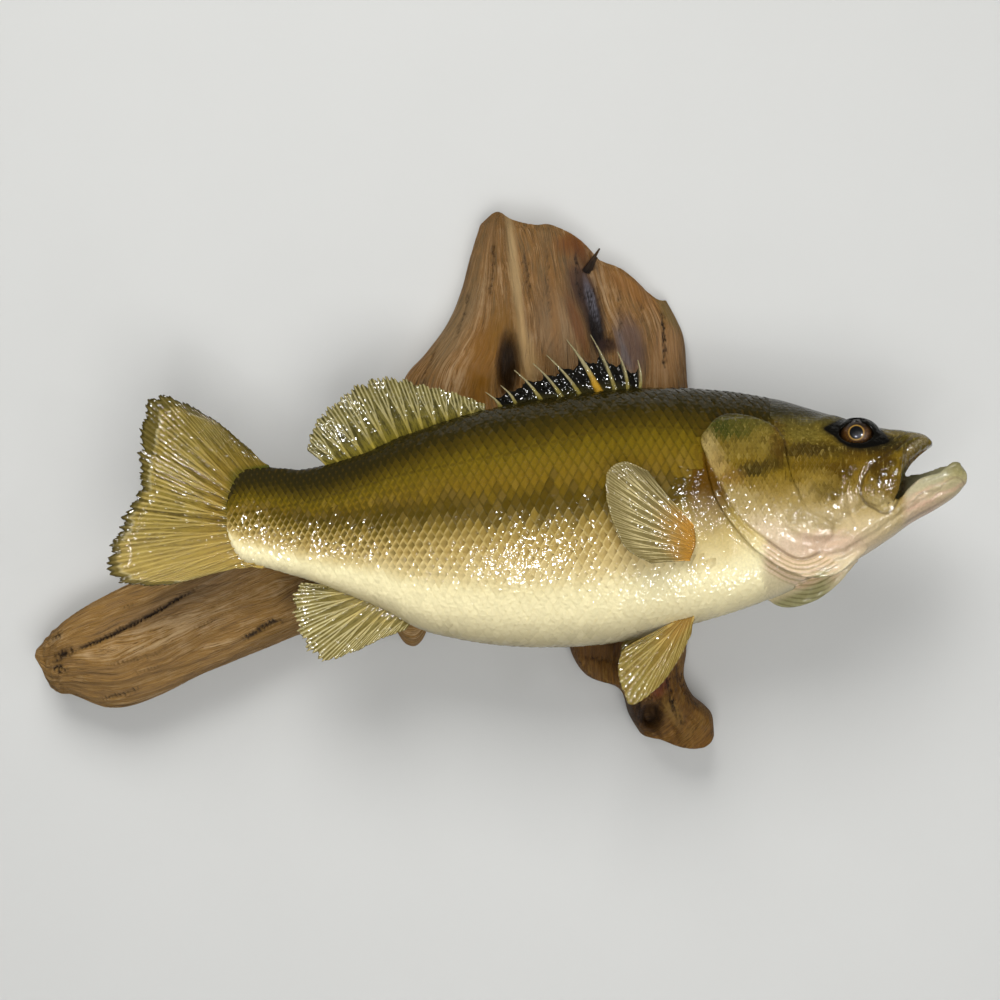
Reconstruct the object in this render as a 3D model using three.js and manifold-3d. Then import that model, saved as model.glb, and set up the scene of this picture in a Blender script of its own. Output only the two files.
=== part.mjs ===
// A mounted largemouth bass on driftwood, life size, as a still wall model.
//
// Frame, in millimetres: +X runs to the head, +Z is up and +Y goes into the wall. The origin is
// the hanging point, on the flat sawn back of the driftwood slab, which lies in the plane Y = 0.
//
// The fish is drawn first as a straight, symmetric animal: x along it, y across it (the right
// side, which faces the room, is negative) and z up. Its pieces are joined and cut in that shape.
// pose() then bends each of them into the turn of the mount: head and tail swing off the wall,
// and the head rolls a little to show its throat.

import * as THREE from 'three';
import { mergeVertices } from 'three/addons/utils/BufferGeometryUtils.js';
import Module from 'manifold-3d';

const wasm = await Module();
wasm.setup();

// ---------------------------------------------------------------- driving dimensions (mm)

const GAP = 0.3; // clearance between neighbouring pieces
const RIGHT = -1;
const LEFT = 1;

// Where the body stands along its own length.
const SNOUT_X = 215.5; // tip of the upper jaw
const CHIN_X = 234.5; // tip of the lower jaw, which reaches past the upper one
const HEAD_X = 118; // nape: head and trunk part here, under the gill covers
const TAIL_X = -105; // trunk and tail part here, over the anal fin
const HYPURAL_X = -182; // the tail's end starts to round off to the caudal fin
const HYPURAL_REACH = 14.5;
const HYPURAL_Z = -27;
const HYPURAL_HALF = 28.5;

// Turn of the mount.
const FISH_Y = -78; // the fish's middle plane stands this far off the wall
const HEAD_BEND = { start: 70, length: 80, slope: 0.208 };
const TAIL_BEND = { start: -90, length: 100, slope: 0.16 };
const HEAD_ROLL = { start: 40, length: 100, angle: THREE.MathUtils.degToRad(7), z: -20 };

const EYE = { x: 174, y: 13.4, z: 19.5, radius: 10.8, rim: 11.9, opening: 9.2 };
const COVER_THICKNESS = 3.4; // gill cover
const MEMBRANE_THICKNESS = 1.6; // branchiostegal membrane under the gill cover
const RAY_THICKNESS = 1.5; // a fin at the root of a ray
const WEB_THICKNESS = 0.7; // a fin between its rays and at its tips

// The body's sections stand at these stations. Pieces cut from it share them, so their facets match.
const STATIONS = [
  ...[-196.2, -194.3, -190.6, -186.6, -182, -172, -160, -147, -133, -119],
  ...[TAIL_X, -92, -79, -66, -51, -34, -14, 6, 24, 40, 55, 68, 80, 90, 99, 108],
  ...[HEAD_X, 127, 136, 145, 153, 161, 168, 175, 182, 188, 194, 199.5, 204.5, 209, 212.8, SNOUT_X],
];
const AROUND = 20; // facets round the body
const ACROSS = 60; // past the fish's widest point, for cuts made through it from the side
const CLOSE_TO = 0.08; // facets this close to flat are merged
const SMOOTHING = 'centripetal'; // how curves run through their points

// ---------------------------------------------------------------- curves and solids

/** A smooth function through [x, value] knots, level beyond both ends. */
function spline(knots) {
  const n = knots.length;
  const slope = (i) => {
    const a = knots[Math.max(i - 1, 0)];
    const b = knots[Math.min(i + 1, n - 1)];
    return (b[1] - a[1]) / (b[0] - a[0]);
  };
  return (x) => {
    if (x <= knots[0][0]) return knots[0][1];
    if (x >= knots[n - 1][0]) return knots[n - 1][1];
    const i = knots.findIndex((k) => k[0] > x) - 1;
    const width = knots[i + 1][0] - knots[i][0];
    const t = (x - knots[i][0]) / width;
    const bend = (1 - t) * t * width;
    const rise = knots[i + 1][1] - knots[i][1];
    const left = slope(i) - rise / width;
    const right = rise / width - slope(i + 1);
    return knots[i][1] + rise * t + bend * (left * (1 - t) + right * t);
  };
}

/** A smooth space curve through [x, y, z] points, read by its share of length from 0 to 1. */
function path(points) {
  const curve = new THREE.CatmullRomCurve3(points.map((p) => new THREE.Vector3(...p)), false, SMOOTHING);
  return (t) => curve.getPointAt(THREE.MathUtils.clamp(t, 0, 1));
}

/** The same for [x, z] points at one depth y. */
const flatPath = (points, y = 0) => path(points.map(([x, z]) => [x, y, z]));

const range = (from, to, count) =>
  Array.from({ length: count + 1 }, (_, i) => from + ((to - from) * i) / count);

const smooth = (t) => t * t * (3 - 2 * t);

function toSolid(geometry) {
  const bare = geometry.clone();
  for (const name of Object.keys(bare.attributes)) {
    if (name !== 'position') bare.deleteAttribute(name);
  }
  const merged = mergeVertices(bare, 1e-4);
  const mesh = new wasm.Mesh({
    numProp: 3,
    vertProperties: new Float32Array(merged.attributes.position.array),
    triVerts: new Uint32Array(merged.index.array),
  });
  mesh.merge();
  return new wasm.Manifold(mesh);
}

function toGeometry(solid) {
  const { vertProperties, triVerts, numProp } = solid.getMesh();
  const positions = new Float32Array((vertProperties.length / numProp) * 3);
  for (let i = 0; i < positions.length / 3; i += 1) {
    positions.set(vertProperties.subarray(i * numProp, i * numProp + 3), i * 3);
  }
  const geometry = new THREE.BufferGeometry();
  geometry.setAttribute('position', new THREE.BufferAttribute(positions, 3));
  geometry.setIndex(new THREE.BufferAttribute(new Uint32Array(triVerts), 1));
  geometry.computeVertexNormals();
  return geometry;
}

/** A closed solid from vertices and triangles, with its faces pointing out. */
function solidOf(vertices, faces) {
  const geometry = new THREE.BufferGeometry().setFromPoints(vertices);
  const solid = toSolid(geometry.setIndex(faces.flat()));
  return solid.volume() > 0 ? solid : toSolid(geometry.setIndex(faces.flatMap(([a, b, c]) => [a, c, b])));
}

/** A tube through closed rings of points, with a fan on each end. */
function tube(rings) {
  const n = rings[0].length;
  const vertices = rings.flat();
  const faces = [];
  for (let i = 0; i < rings.length - 1; i += 1) {
    for (let j = 0; j < n; j += 1) {
      const [a, b] = [i * n + j, i * n + ((j + 1) % n)];
      faces.push([a, b, b + n], [a, b + n, a + n]);
    }
  }
  for (const [ring, start, turn] of [[rings[0], 0, 1], [rings.at(-1), (rings.length - 1) * n, -1]]) {
    const centre = ring.reduce((sum, p) => sum.add(p), new THREE.Vector3()).divideScalar(n);
    vertices.push(centre);
    const hub = vertices.length - 1;
    for (let j = 0; j < n; j += 1) {
      const [a, b] = [start + j, start + ((j + 1) % n)];
      faces.push(turn > 0 ? [hub, b, a] : [hub, a, b]);
    }
  }
  return solidOf(vertices, faces);
}

/** A tube whose end rings, square to x, are moved apart by grow. */
function grownTube(rings, grow) {
  rings[0].forEach((p) => p.setX(p.x - grow));
  rings.at(-1).forEach((p) => p.setX(p.x + grow));
  return tube(rings);
}

/** A thin closed plate: a grid of middle points (u, v), thickened across y. */
function plate(columns, rows, middle, thickness) {
  const grid = (side) =>
    range(0, 1, columns).flatMap((u) =>
      range(0, 1, rows).map((v) => middle(u, v).setY(middle(u, v).y + (side * thickness(u, v)) / 2)),
    );
  const stride = rows + 1;
  const back = (columns + 1) * stride;
  const vertices = [...grid(-1), ...grid(1)];
  const faces = [];
  const wall = (a, b) => faces.push([a, b, b + back], [a, b + back, a + back]);
  for (let i = 0; i < columns; i += 1) {
    for (let j = 0; j < rows; j += 1) {
      const a = i * stride + j;
      const [b, c, d] = [a + stride, a + stride + 1, a + 1];
      faces.push([a, c, b], [a, d, c], [a + back, b + back, c + back], [a + back, c + back, d + back]);
    }
    wall(i * stride, (i + 1) * stride);
    wall((i + 1) * stride + rows, i * stride + rows);
  }
  for (let j = 0; j < rows; j += 1) {
    wall(j + 1, j);
    wall(columns * stride + j, columns * stride + j + 1);
  }
  return solidOf(vertices, faces);
}

/** A straight prism along y: a smooth closed outline in x and z, in a number of steps. */
function prism(outline, [from, to], steps, grow = 0) {
  const curve = new THREE.CatmullRomCurve3(outline.map(([x, z]) => new THREE.Vector3(x, z, 0)), true, SMOOTHING);
  const points = curve.getPoints(steps).slice(0, steps);
  const area = THREE.ShapeUtils.area(points);
  const shape = new THREE.Shape(
    points.map((p, i) => {
      const along = points[(i + 1) % steps].clone().sub(points[(i + steps - 1) % steps]).normalize();
      return new THREE.Vector2(p.x + along.y * grow * Math.sign(area), p.y - along.x * grow * Math.sign(area));
    }),
  );
  const geometry = new THREE.ExtrudeGeometry(shape, { depth: to - from, bevelEnabled: false });
  geometry.rotateX(Math.PI / 2).translate(0, to, 0);
  return toSolid(geometry);
}

/** A ball, or with scale an ellipsoid, about a centre. */
function ball(x, y, z, radius, detail = 3, scale = [1, 1, 1]) {
  const geometry = new THREE.IcosahedronGeometry(radius, detail);
  return toSolid(geometry.scale(...scale).translate(x, y, z));
}

// ---------------------------------------------------------------- the straight body

const PROFILE = {
  top: spline([
    [-182, 1.5], [-170, 2], [-150, 1], [-118, 9.5], [-94, 20], [-47, 35], [0, 43.5], [47, 48.5],
    [90, 47.8], [124, 43], [158, 32.5], [186, 24.6], [206, 21.6], [212, 19.6], [SNOUT_X, 15.8],
  ]),
  bottom: spline([
    [-182, -55.5], [-147, -66], [-106, -82], [-87, -92.5], [-71, -98], [-35, -104], [0, -105],
    [35, -102], [83, -90], [112, -81], [140, -69], [158, -58], [168, -44], [178, -33], [189, -31.5],
    [195, -25], [198, -8], [200, 3], [204, 9.5], [209, 12.5], [SNOUT_X, 14.6],
  ]),
  half: spline([
    [-196.5, 2.4], [-182, 6], [-150, 12.5], [-118, 18], [-94, 23.5], [-60, 31.5], [-30, 37.5], [15, 41],
    [55, 40], [85, 37], [112, 34], [150, 30], [175, 26], [190, 22.8], [203, 17.5], [211, 12], [SNOUT_X, 6],
  ]),
  girth: spline([[-190, 0.5], [-100, 0.52], [60, 0.55], [130, 0.5], [175, 0.52], [SNOUT_X, 0.5]]),
  square: spline([[100, 0], [150, 0.3], [190, 0.45], [SNOUT_X, 0.3]]),
};

/** Height limits [bottom, top] of the body at x. Its hind end is rounded like a paddle. */
function limits(x) {
  if (x >= HYPURAL_X) return [PROFILE.bottom(x), PROFILE.top(x)];
  const share = Math.min((HYPURAL_X - x) / HYPURAL_REACH, 0.999);
  const half = HYPURAL_HALF * Math.sqrt(1 - share * share);
  return [HYPURAL_Z - half, HYPURAL_Z + half];
}

/** Angles that divide a full turn into count parts. */
const turn = (count) => range(0, 2 * Math.PI, count).slice(0, count);

/**
 * One section of a body, as a ring of points: half its width, its girth line as a share of its
 * height, how square it is, and how far it is grown outward.
 */
function section(x, [bottom, top], half, { girth, square, grow = 0, facets = AROUND }) {
  const middle = bottom + girth * (top - bottom);
  const power = 1 - 0.45 * square;
  return turn(facets).map((angle) => {
    const [c, s] = [Math.cos(angle), Math.sin(angle)];
    const y = (half + grow) * Math.sign(c) * Math.abs(c) ** (s > 0 ? 1.12 * power : 0.98);
    const reach = s > 0 ? top - middle : middle - bottom;
    return new THREE.Vector3(x, y, middle + (reach + grow) * Math.sign(s) * Math.abs(s) ** power);
  });
}

/** The body's own section at x. */
function bodySection(x, grow = 0) {
  return section(x, limits(x), PROFILE.half(x), { girth: PROFILE.girth(x), square: PROFILE.square(x), grow });
}

/** A length of the body, grown outward all round by grow. */
function body(from, to, grow = 0) {
  const inside = STATIONS.filter((x) => x > from + 1 && x < to - 1);
  return grownTube([from, ...inside, to].map((x) => bodySection(x, grow)), grow);
}

/** Half the body's width at x and height z. */
function flank(x, z) {
  const [bottom, top] = limits(x);
  const middle = bottom + PROFILE.girth(x) * (top - bottom);
  const reach = z > middle ? top - middle : middle - bottom;
  const share = Math.min(Math.abs(z - middle) / reach, 1);
  return PROFILE.half(x) * Math.sqrt(1 - share * share);
}

/** Where the middle plane stands off the wall at x, and its slope there. */
function bend({ start, length, slope }, x) {
  const run = Math.abs(x - start);
  const curved = Math.min(run, length);
  return [(slope * curved * curved) / (2 * length) + slope * (run - curved), (slope * curved) / length];
}

/** Bends a point of the straight fish into the mount. */
function pose([x, y, z]) {
  let [out, slope] = [0, 0];
  if (x > HEAD_BEND.start) [out, slope] = bend(HEAD_BEND, x);
  if (x < TAIL_BEND.start) {
    [out, slope] = bend(TAIL_BEND, x);
    slope = -slope;
  }
  const roll = HEAD_ROLL.angle * smooth(THREE.MathUtils.clamp((x - HEAD_ROLL.start) / HEAD_ROLL.length, 0, 1));
  const [height, yaw] = [z - HEAD_ROLL.z, Math.atan(slope)];
  const across = y * Math.cos(roll) + height * Math.sin(roll);
  return [
    x + across * Math.sin(yaw),
    FISH_Y - out + across * Math.cos(yaw),
    HEAD_ROLL.z + height * Math.cos(roll) - y * Math.sin(roll),
  ];
}

const posed = (solid) =>
  solid.warp((v) => {
    const p = pose(v);
    [v[0], v[1], v[2]] = p;
  });

// ---------------------------------------------------------------- head

const JAW = {
  hinge: 152,
  top: spline([[150, -30], [164, -22], [178, -14], [190, -7], [198, -3.5], [212, -1.5], [228, 1.5], [CHIN_X, -2]]),
  bottom: spline([[150, -64], [165, -57], [176, -51], [192, -40], [203, -31.5], [219, -22], [229, -14.5], [CHIN_X, -7.5]]),
  half: spline([[150, 22], [165, 23], [178, 20.5], [190, 18], [205, 16.6], [220, 12.8], [229, 8.8], [CHIN_X, 4]]),
};

const UPPER_JAW_OUTLINE = [
  [222, 18.2], [210, 16.8], [201, 12.5], [188, 4.5], [180, -6], [174.5, -16], [177, -26], [186, -34], [204, -24],
  [220, 4],
];

const COVER_OUTLINE = [
  [81.5, 13], [87, 26], [102, 31], [128, 26.5], [132, 5], [137, -12], [146, -24], [160, -34], [158, -45],
  [143, -54], [124, -45], [105, -30], [92, -10],
];

/** The hollow of the mouth: under the palate it opens downward, in the lower jaw upward. */
function mouthHollow(inJaw, grow = 0) {
  const roof = spline([[138, -30], [150, -8], [170, 4], [195, 9], [206, 12.6], [211.5, 13.4]]);
  const half = spline([[138, 7], [155, 15], [172, 20], [190, 17.8], [200, 13.8], [207, 9], [211.5, 4]]);
  if (!inJaw) {
    const shape = { girth: 0.85, square: 0.2, grow, facets: 12 };
    return grownTube(range(138, 211.5, 8).map((x) => section(x, [-92, roof(x)], half(x), shape)), grow);
  }
  const floor = (x) => JAW.bottom(x) + 6;
  const shape = { girth: 0.4, square: 0.6, facets: 12 };
  return tube(range(138, 229, 8).map((x) => section(x, [floor(x), 40], JAW.half(x) - 3.6, shape)));
}

const eyeball = (side, grow = 0) => ball(EYE.x, side * EYE.y, EYE.z, EYE.radius + grow, 2);

/** Adds the raised rim of an orbit to the head and opens it over the eye. */
function withOrbit(head, side) {
  const window = new THREE.CylinderGeometry(EYE.opening, EYE.opening, 20, 14);
  window.translate(EYE.x, side * (EYE.y + 14), EYE.z);
  return head
    .add(ball(EYE.x - 0.5, side * (EYE.y - 1.5), EYE.z, EYE.rim, 1, [1.06, 0.78, 1]))
    .subtract(eyeball(side, GAP))
    .subtract(toSolid(window));
}

function makeHead() {
  const open = body(HEAD_X, SNOUT_X).subtract(mouthHollow(false));
  const behind = open.subtract(prism(UPPER_JAW_OUTLINE, [-ACROSS, ACROSS], 20, GAP));
  return withOrbit(withOrbit(behind, RIGHT), LEFT);
}

function makeUpperJaw() {
  return body(HEAD_X, SNOUT_X).subtract(mouthHollow(false)).intersect(prism(UPPER_JAW_OUTLINE, [-ACROSS, ACROSS], 20));
}

function jawShape(grow = 0) {
  const shape = { girth: 0.45, square: 0.4, grow, facets: 16 };
  const ring = (x) => section(x, [JAW.bottom(x), JAW.top(x)], JAW.half(x), shape);
  return grownTube(range(JAW.hinge, CHIN_X, 10).map(ring), grow);
}

function makeLowerJaw() {
  const skull = body(HEAD_X, SNOUT_X, 2 * GAP).subtract(mouthHollow(false, -2 * GAP));
  const covers = prism(COVER_OUTLINE, [-ACROSS, ACROSS], 22, GAP);
  return largest(jawShape().subtract(mouthHollow(true)).subtract(skull).subtract(covers));
}

/** The largest piece of a solid, without the chips that a cut leaves beside it. */
function largest(solid) {
  return solid.decompose().sort((a, b) => b.volume() - a.volume())[0];
}

/** The range of y on one side of the fish. */
const across = (side) => (side > 0 ? [1, ACROSS] : [-ACROSS, -1]);

/** A gill cover: a plate that follows the side of the body inside the cover's outline. */
function makeGillCover(side) {
  const shell = body(69, 175, COVER_THICKNESS);
  const cover = shell.intersect(prism(COVER_OUTLINE, across(side), 22));
  return largest(cover.subtract(body(57, 182, GAP)));
}

/** The fringe of branchiostegal membrane from the gill cover's hind point to the throat. */
function makeGillMembrane(side) {
  const drop = side > 0 ? 12 : 0; // the left fringe hangs lower, below the throat
  const inner = path(
    [[86, 2], [97, -17], [112, -34], [132, -46 - drop * 0.6], [154, -48 - drop * 0.5], [170, -42]].map(
      ([x, z]) => [x, side * (flank(x, z) + 1), z],
    ),
  );
  const outer = path([
    [83, side * 38.5, 5], [90, side * 38.5, -19], [106, side * 35, -41 - drop * 0.5],
    [130, side * 28, -59 - drop * 1.1], [152, side * 21, -66 - drop * 0.6], [175, side * 15, -55],
  ]);
  const middle = (u, v) => inner(u).lerp(outer(u), v);
  const band = plate(12, 1, middle, (u, v) => MEMBRANE_THICKNESS * (1.3 - 0.5 * v));
  const free = band.subtract(body(57, 182, GAP)).subtract(jawShape(2 * GAP));
  return largest(free.subtract(prism(COVER_OUTLINE, across(side), 22, GAP)));
}

// ---------------------------------------------------------------- fins

/**
 * A fin: a fan of rays from a base curve to a tip curve, thick along each ray and thin between.
 * sway(u, v) moves it across the fish, and notch is how far the web falls back between the tips.
 */
function fan({ base, tip, rays, rows, sway = () => 0, notch = 0.04, root = RAY_THICKNESS }) {
  const columns = 2 * rays;
  const isRay = (u) => Math.round(u * columns) % 2 === 0;
  const middle = (u, v) => {
    const reach = v * (isRay(u) ? 1 : 1 - notch);
    const p = base(u).lerp(tip(u), reach);
    return p.setY(p.y + sway(u, v));
  };
  const thickness = (u, v) => WEB_THICKNESS + (isRay(u) ? (root - WEB_THICKNESS) * (1 - v) : 0);
  return plate(columns, rows, middle, thickness);
}

/** A fin on the body's middle line, cut clear of the body it stands on. */
function onBody(fin, from, to, clearance = GAP) {
  return largest(fin.subtract(body(from, to, clearance)));
}

function makeCaudalFin() {
  const base = flatPath([[-172, 2], [-185, -6], [-192, -27], [-184, -49], [-175, -57]]);
  const tip = flatPath([
    [-183, 12], [-208, 33], [-238, 44.5], [-244.5, 30], [-247, 11], [-246, -9], [-257, -30], [-264.5, -52],
    [-261, -64], [-231, -67.5], [-200, -57.5],
  ]);
  const sway = (u, v) => 4 * v * v * Math.sin(u * 7) - 5 * v * v * v * (1 - u);
  return onBody(fan({ base, tip, rays: 14, rows: 2, sway, notch: 0.03, root: 2.6 }), -196.2, -147, 2 * GAP);
}

function makeSoftDorsalFin() {
  const base = flatPath([[-137, 2], [-118, 6], [-94, 16], [-70, 25], [-44, 33]]);
  const tip = flatPath([
    [-149.5, 12], [-147.5, 22], [-142, 33], [-129, 45], [-117, 53], [-105, 56], [-83, 52], [-59, 45],
    [-44, 39],
  ]);
  const sway = (u, v) => -3 * v * v * (1 - u);
  return onBody(fan({ base, tip, rays: 11, rows: 2, sway, notch: 0.05 }), -172, -14);
}

function makeAnalFin() {
  const base = flatPath([[-128, -69], [-114, -75], [-100, -82], [-87, -89]]);
  const tip = flatPath([
    [-141, -69], [-154, -67], [-158.5, -77], [-156, -92], [-150, -106], [-141, -113], [-125, -109], [-106, -100],
    [-91, -94],
  ]);
  const sway = (u, v) => -6 * v * v * (1 - 0.5 * u);
  return onBody(fan({ base, tip, rays: 10, rows: 2, sway, notch: 0.05 }), -172, -51);
}

// Each spine of the first dorsal fin, from the hindmost: [base x, base z, tip x, tip z].
const SPINES = [
  [-32, 37, -44, 46], [-24, 39, -35, 50], [-9, 42, -27, 59], [3, 44, -16, 63], [14, 45, -8, 68],
  [25, 46, 4, 77], [34, 47, 18, 80], [41, 47, 34, 70], [47, 46, 46, 65],
];
const SPINE_RADIUS = 1.5;

function makeSpine([baseX, baseZ, tipX, tipZ]) {
  const from = new THREE.Vector3(baseX, 0, baseZ);
  const to = new THREE.Vector3(tipX, 0, tipZ);
  const length = from.distanceTo(to);
  const cone = new THREE.CylinderGeometry(0.3, SPINE_RADIUS, length, 5);
  const turn = new THREE.Quaternion().setFromUnitVectors(new THREE.Vector3(0, 1, 0), to.clone().sub(from).normalize());
  cone.applyQuaternion(turn).translate(...from.add(to).divideScalar(2));
  return toSolid(cone);
}

function makeSpinyDorsalFin() {
  const last = SPINES.length - 1;
  const at = (u) => {
    const i = Math.min(Math.floor(u * last), last - 1);
    const t = u * last - i;
    return SPINES[i].map((value, k) => value + (SPINES[i + 1][k] - value) * t);
  };
  // The web climbs three quarters of each spine and sags between them.
  const middle = (u, v) => {
    const [baseX, baseZ, tipX, tipZ] = at(u);
    const sag = 0.74 - 0.16 * Math.abs(Math.sin(u * last * Math.PI));
    return new THREE.Vector3(baseX + (tipX - baseX) * v * sag, 0, baseZ + (tipZ - baseZ) * v * sag);
  };
  const web = plate(2 * last, 1, middle, () => WEB_THICKNESS);
  const fin = SPINES.reduce((solid, spine) => solid.add(makeSpine(spine)), web);
  return onBody(fin, -66, 80);
}

function makePectoralFin(side) {
  const lift = side > 0 ? 3 : 14; // the right fin stands off the side, the left one lies on it
  const base = flatPath([[75.5, -34], [76.5, -44], [73, -53]], side * 38);
  const tip = flatPath([
    [48, -1.5], [34, 4], [25.5, -1], [24.5, -16], [28.5, -31], [36, -45], [50, -53.5],
  ], side * 41);
  const sway = (u, v) => side * lift * v * v;
  const fin = fan({ base, tip, rays: 10, rows: 2, sway, notch: 0.03, root: 1.8 });
  return largest(fin.subtract(body(6, 108, GAP)));
}

function makePelvicFin(side) {
  const base = flatPath([[67, -89], [72, -88], [77.5, -87]], side * 14);
  const tip = flatPath([
    [47, -98.5], [36, -105], [33, -116], [36, -129], [40, -136.5], [53, -129.5], [67, -112], [75.5, -96],
  ], side * 14);
  const sway = (u, v) => side * 8 * v;
  const fin = fan({ base, tip, rays: 7, rows: 2, sway, notch: 0.03, root: 2 });
  return largest(fin.subtract(body(24, 108, GAP)));
}

// ---------------------------------------------------------------- driftwood

/**
 * A slab of wood with a flat back in the plane Y = 0. Its outline runs up the left edge from the
 * bottom curve to the top curve and down the right one. depth(u, v) is its thickness.
 */
function woodSlab({ left, right, top, bottom }, columns, rows, depth) {
  const at = (u, v) => {
    const sides = left(v).lerp(right(v), u);
    const ends = bottom(u).lerp(top(u), v);
    const corners = bottom(0).lerp(bottom(1), u).lerp(top(0).lerp(top(1), u), v);
    return sides.add(ends).sub(corners);
  };
  const stride = rows + 1;
  const front = range(0, 1, columns).flatMap((u) => range(0, 1, rows).map((v) => at(u, v).setY(-depth(u, v))));
  const rim = [
    ...range(0, rows - 1, rows - 1),
    ...range(0, columns - 1, columns - 1).map((i) => i * stride + rows),
    ...range(rows, 1, rows - 1).map((j) => columns * stride + j),
    ...range(columns, 1, columns - 1).map((i) => i * stride),
  ];
  const vertices = [...front, ...rim.map((i) => front[i].clone().setY(0))];
  const faces = [];
  for (let i = 0; i < columns; i += 1) {
    for (let j = 0; j < rows; j += 1) {
      const a = i * stride + j;
      faces.push([a, a + stride, a + stride + 1], [a, a + stride + 1, a + 1]);
    }
  }
  const first = front.length;
  rim.forEach((index, i) => {
    const next = (i + 1) % rim.length;
    faces.push([index, rim[next], first + next], [index, first + next, first + i]);
  });
  const outline = rim.map((i) => new THREE.Vector2(front[i].x, front[i].z));
  for (const [a, b, c] of THREE.ShapeUtils.triangulateShape(outline, [])) {
    const clockwise = THREE.ShapeUtils.area([outline[a], outline[b], outline[c]]) < 0;
    faces.push(clockwise ? [first + a, first + b, first + c] : [first + a, first + c, first + b]);
  }
  return solidOf(vertices, faces);
}

/** Weathered grain: shallow furrows along a slab, by place across it. */
const furrow = (u, v) => 1.6 * Math.sin(u * 23 + 2 * v) + 0.9 * Math.sin(u * 51 - 3 * v);

/** Thickness that falls off toward a slab's edges. */
const rounded = (u, middle, edge) => edge + (middle - edge) * Math.sqrt(Math.max(0, 1 - (2 * u - 1) ** 4));

const LOG = {
  from: -320.5,
  to: -62,
  top: spline([[-321, -109], [-309, -96], [-282, -78], [-240, -60], [-200, -46], [-100, -12], [-62, 0]]),
  bottom: spline([
    [-321, -116], [-312, -134], [-298, -137.5], [-277, -145], [-255, -142], [-206, -121], [-159, -101],
    [-120, -88], [-104, -92], [-93, -106], [-83, -103], [-72, -74], [-62, -64],
  ]),
  front: spline([[-321, 34], [-300, 47], [-200, 53], [-62, 44]]),
};

function makeLog(grow = 0) {
  const middle = (x) => (LOG.top(x) + LOG.bottom(x)) / 2;
  const rings = range(LOG.from, LOG.to, 18).map((x) =>
    turn(14).map((angle) => {
      const ridge = 1 + 0.035 * Math.sin(5 * angle + x * 0.03);
      const half = ((LOG.top(x) - LOG.bottom(x)) / 2 + grow) * (Math.abs(Math.sin(angle)) === 1 ? 1 : ridge);
      const depth = LOG.front(x) / 2 - 1;
      const y = -1 - depth + Math.cos(angle) * (depth + grow) * ridge * 0.97;
      return new THREE.Vector3(x, y, middle(x) + half * Math.sin(angle) * 0.985);
    }),
  );
  return grownTube(rings, grow);
}

function makeSlab(fish) {
  const edges = {
    left: flatPath([
      [-57, -72], [-59, -30], [-62, 2], [-84, 22], [-96, 40], [-95, 58], [-81, 75], [-68, 93], [-60, 112],
      [-54, 134], [-48, 154],
    ]),
    right: flatPath([[80, -72], [84, -30], [84, 30], [81.5, 60], [79, 86], [69, 107]]),
    top: flatPath([
      [-48, 154], [-37, 161], [-29, 155.5], [-14, 151.5], [-4, 151.5], [12, 144.5], [24, 133], [26, 131],
      [40, 125], [63, 107], [69, 107],
    ]),
    bottom: flatPath([[-57, -72], [12, -72], [80, -72]]),
  };
  const hump = (u) => 9 * Math.exp(-(((u - 0.3) / 0.16) ** 2));
  const depth = (u, v) => rounded(u, 31, 15) + hump(u) + furrow(u, v) - 5 * v;
  const hollow = ball(-30, -44, 72, 10, 2, [0.62, 1.1, 2.3]);
  return largest(woodSlab(edges, 14, 12, depth).subtract(hollow).subtract(makeLog(GAP)).subtract(fish));
}

function makeRoot(fish) {
  const edges = {
    left: flatPath([[52, -163], [45.5, -152], [41, -138], [34, -131.5], [19, -127], [11, -117], [7, -104], [4, -72.3]]),
    right: flatPath([[98, -162], [96, -150], [84, -138.5], [79, -127], [81, -112], [82, -96], [81, -72.3]]),
    top: flatPath([[4, -72.3], [42, -72.3], [81, -72.3]]),
    bottom: flatPath([[52, -163], [64, -165], [77, -169.5], [90, -169], [98, -162]]),
  };
  const depth = (u, v) => rounded(u, 34, 13) + 0.8 * furrow(u, v) + 8 * Math.sin(Math.min(v * 5, Math.PI));
  const hollow = ball(57, -42, -155, 8, 2, [0.9, 1.4, 1.25]);
  return largest(woodSlab(edges, 9, 10, depth).subtract(hollow).subtract(fish));
}

// ---------------------------------------------------------------- the object

const finish = (color, roughness, metalness = 0) => new THREE.MeshStandardMaterial({ color, roughness, metalness });

const FINISH = {
  back: finish(0x5d5a26, 0.3),
  flesh: finish(0x8a7c3c, 0.28),
  cheek: finish(0x7a6a2c, 0.25),
  pale: finish(0xd9c9a6, 0.3),
  finSoft: finish(0x9a8438, 0.3),
  finDark: finish(0x3a3418, 0.25),
  finPale: finish(0xcdbb7c, 0.3),
  eye: finish(0x3a2a10, 0.05),
  wood: finish(0x8a6236, 0.8),
};

const mount = new THREE.Group();

/** Adds one named piece to the mount. */
function addNode(name, solid, material) {
  const mesh = new THREE.Mesh(toGeometry(solid.simplify(CLOSE_TO)), material);
  mesh.name = name;
  mount.add(mesh);
}

addNode('head', posed(makeHead()), FINISH.cheek);
addNode('upper_jaw', posed(makeUpperJaw()), FINISH.cheek);
addNode('lower_jaw', posed(makeLowerJaw()), FINISH.pale);
addNode('trunk', posed(body(TAIL_X + GAP, HEAD_X - GAP)), FINISH.back);
addNode('tail', posed(body(STATIONS[0], TAIL_X)), FINISH.flesh);

for (const [side, word] of [[RIGHT, 'right'], [LEFT, 'left']]) {
  addNode(`eye_${word}`, posed(eyeball(side)), FINISH.eye);
  addNode(`gill_cover_${word}`, posed(makeGillCover(side)), FINISH.cheek);
  addNode(`gill_membrane_${word}`, posed(makeGillMembrane(side)), FINISH.pale);
  addNode(`pectoral_fin_${word}`, posed(makePectoralFin(side)), FINISH.finSoft);
  addNode(`pelvic_fin_${word}`, posed(makePelvicFin(side)), FINISH.finPale);
}

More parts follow.
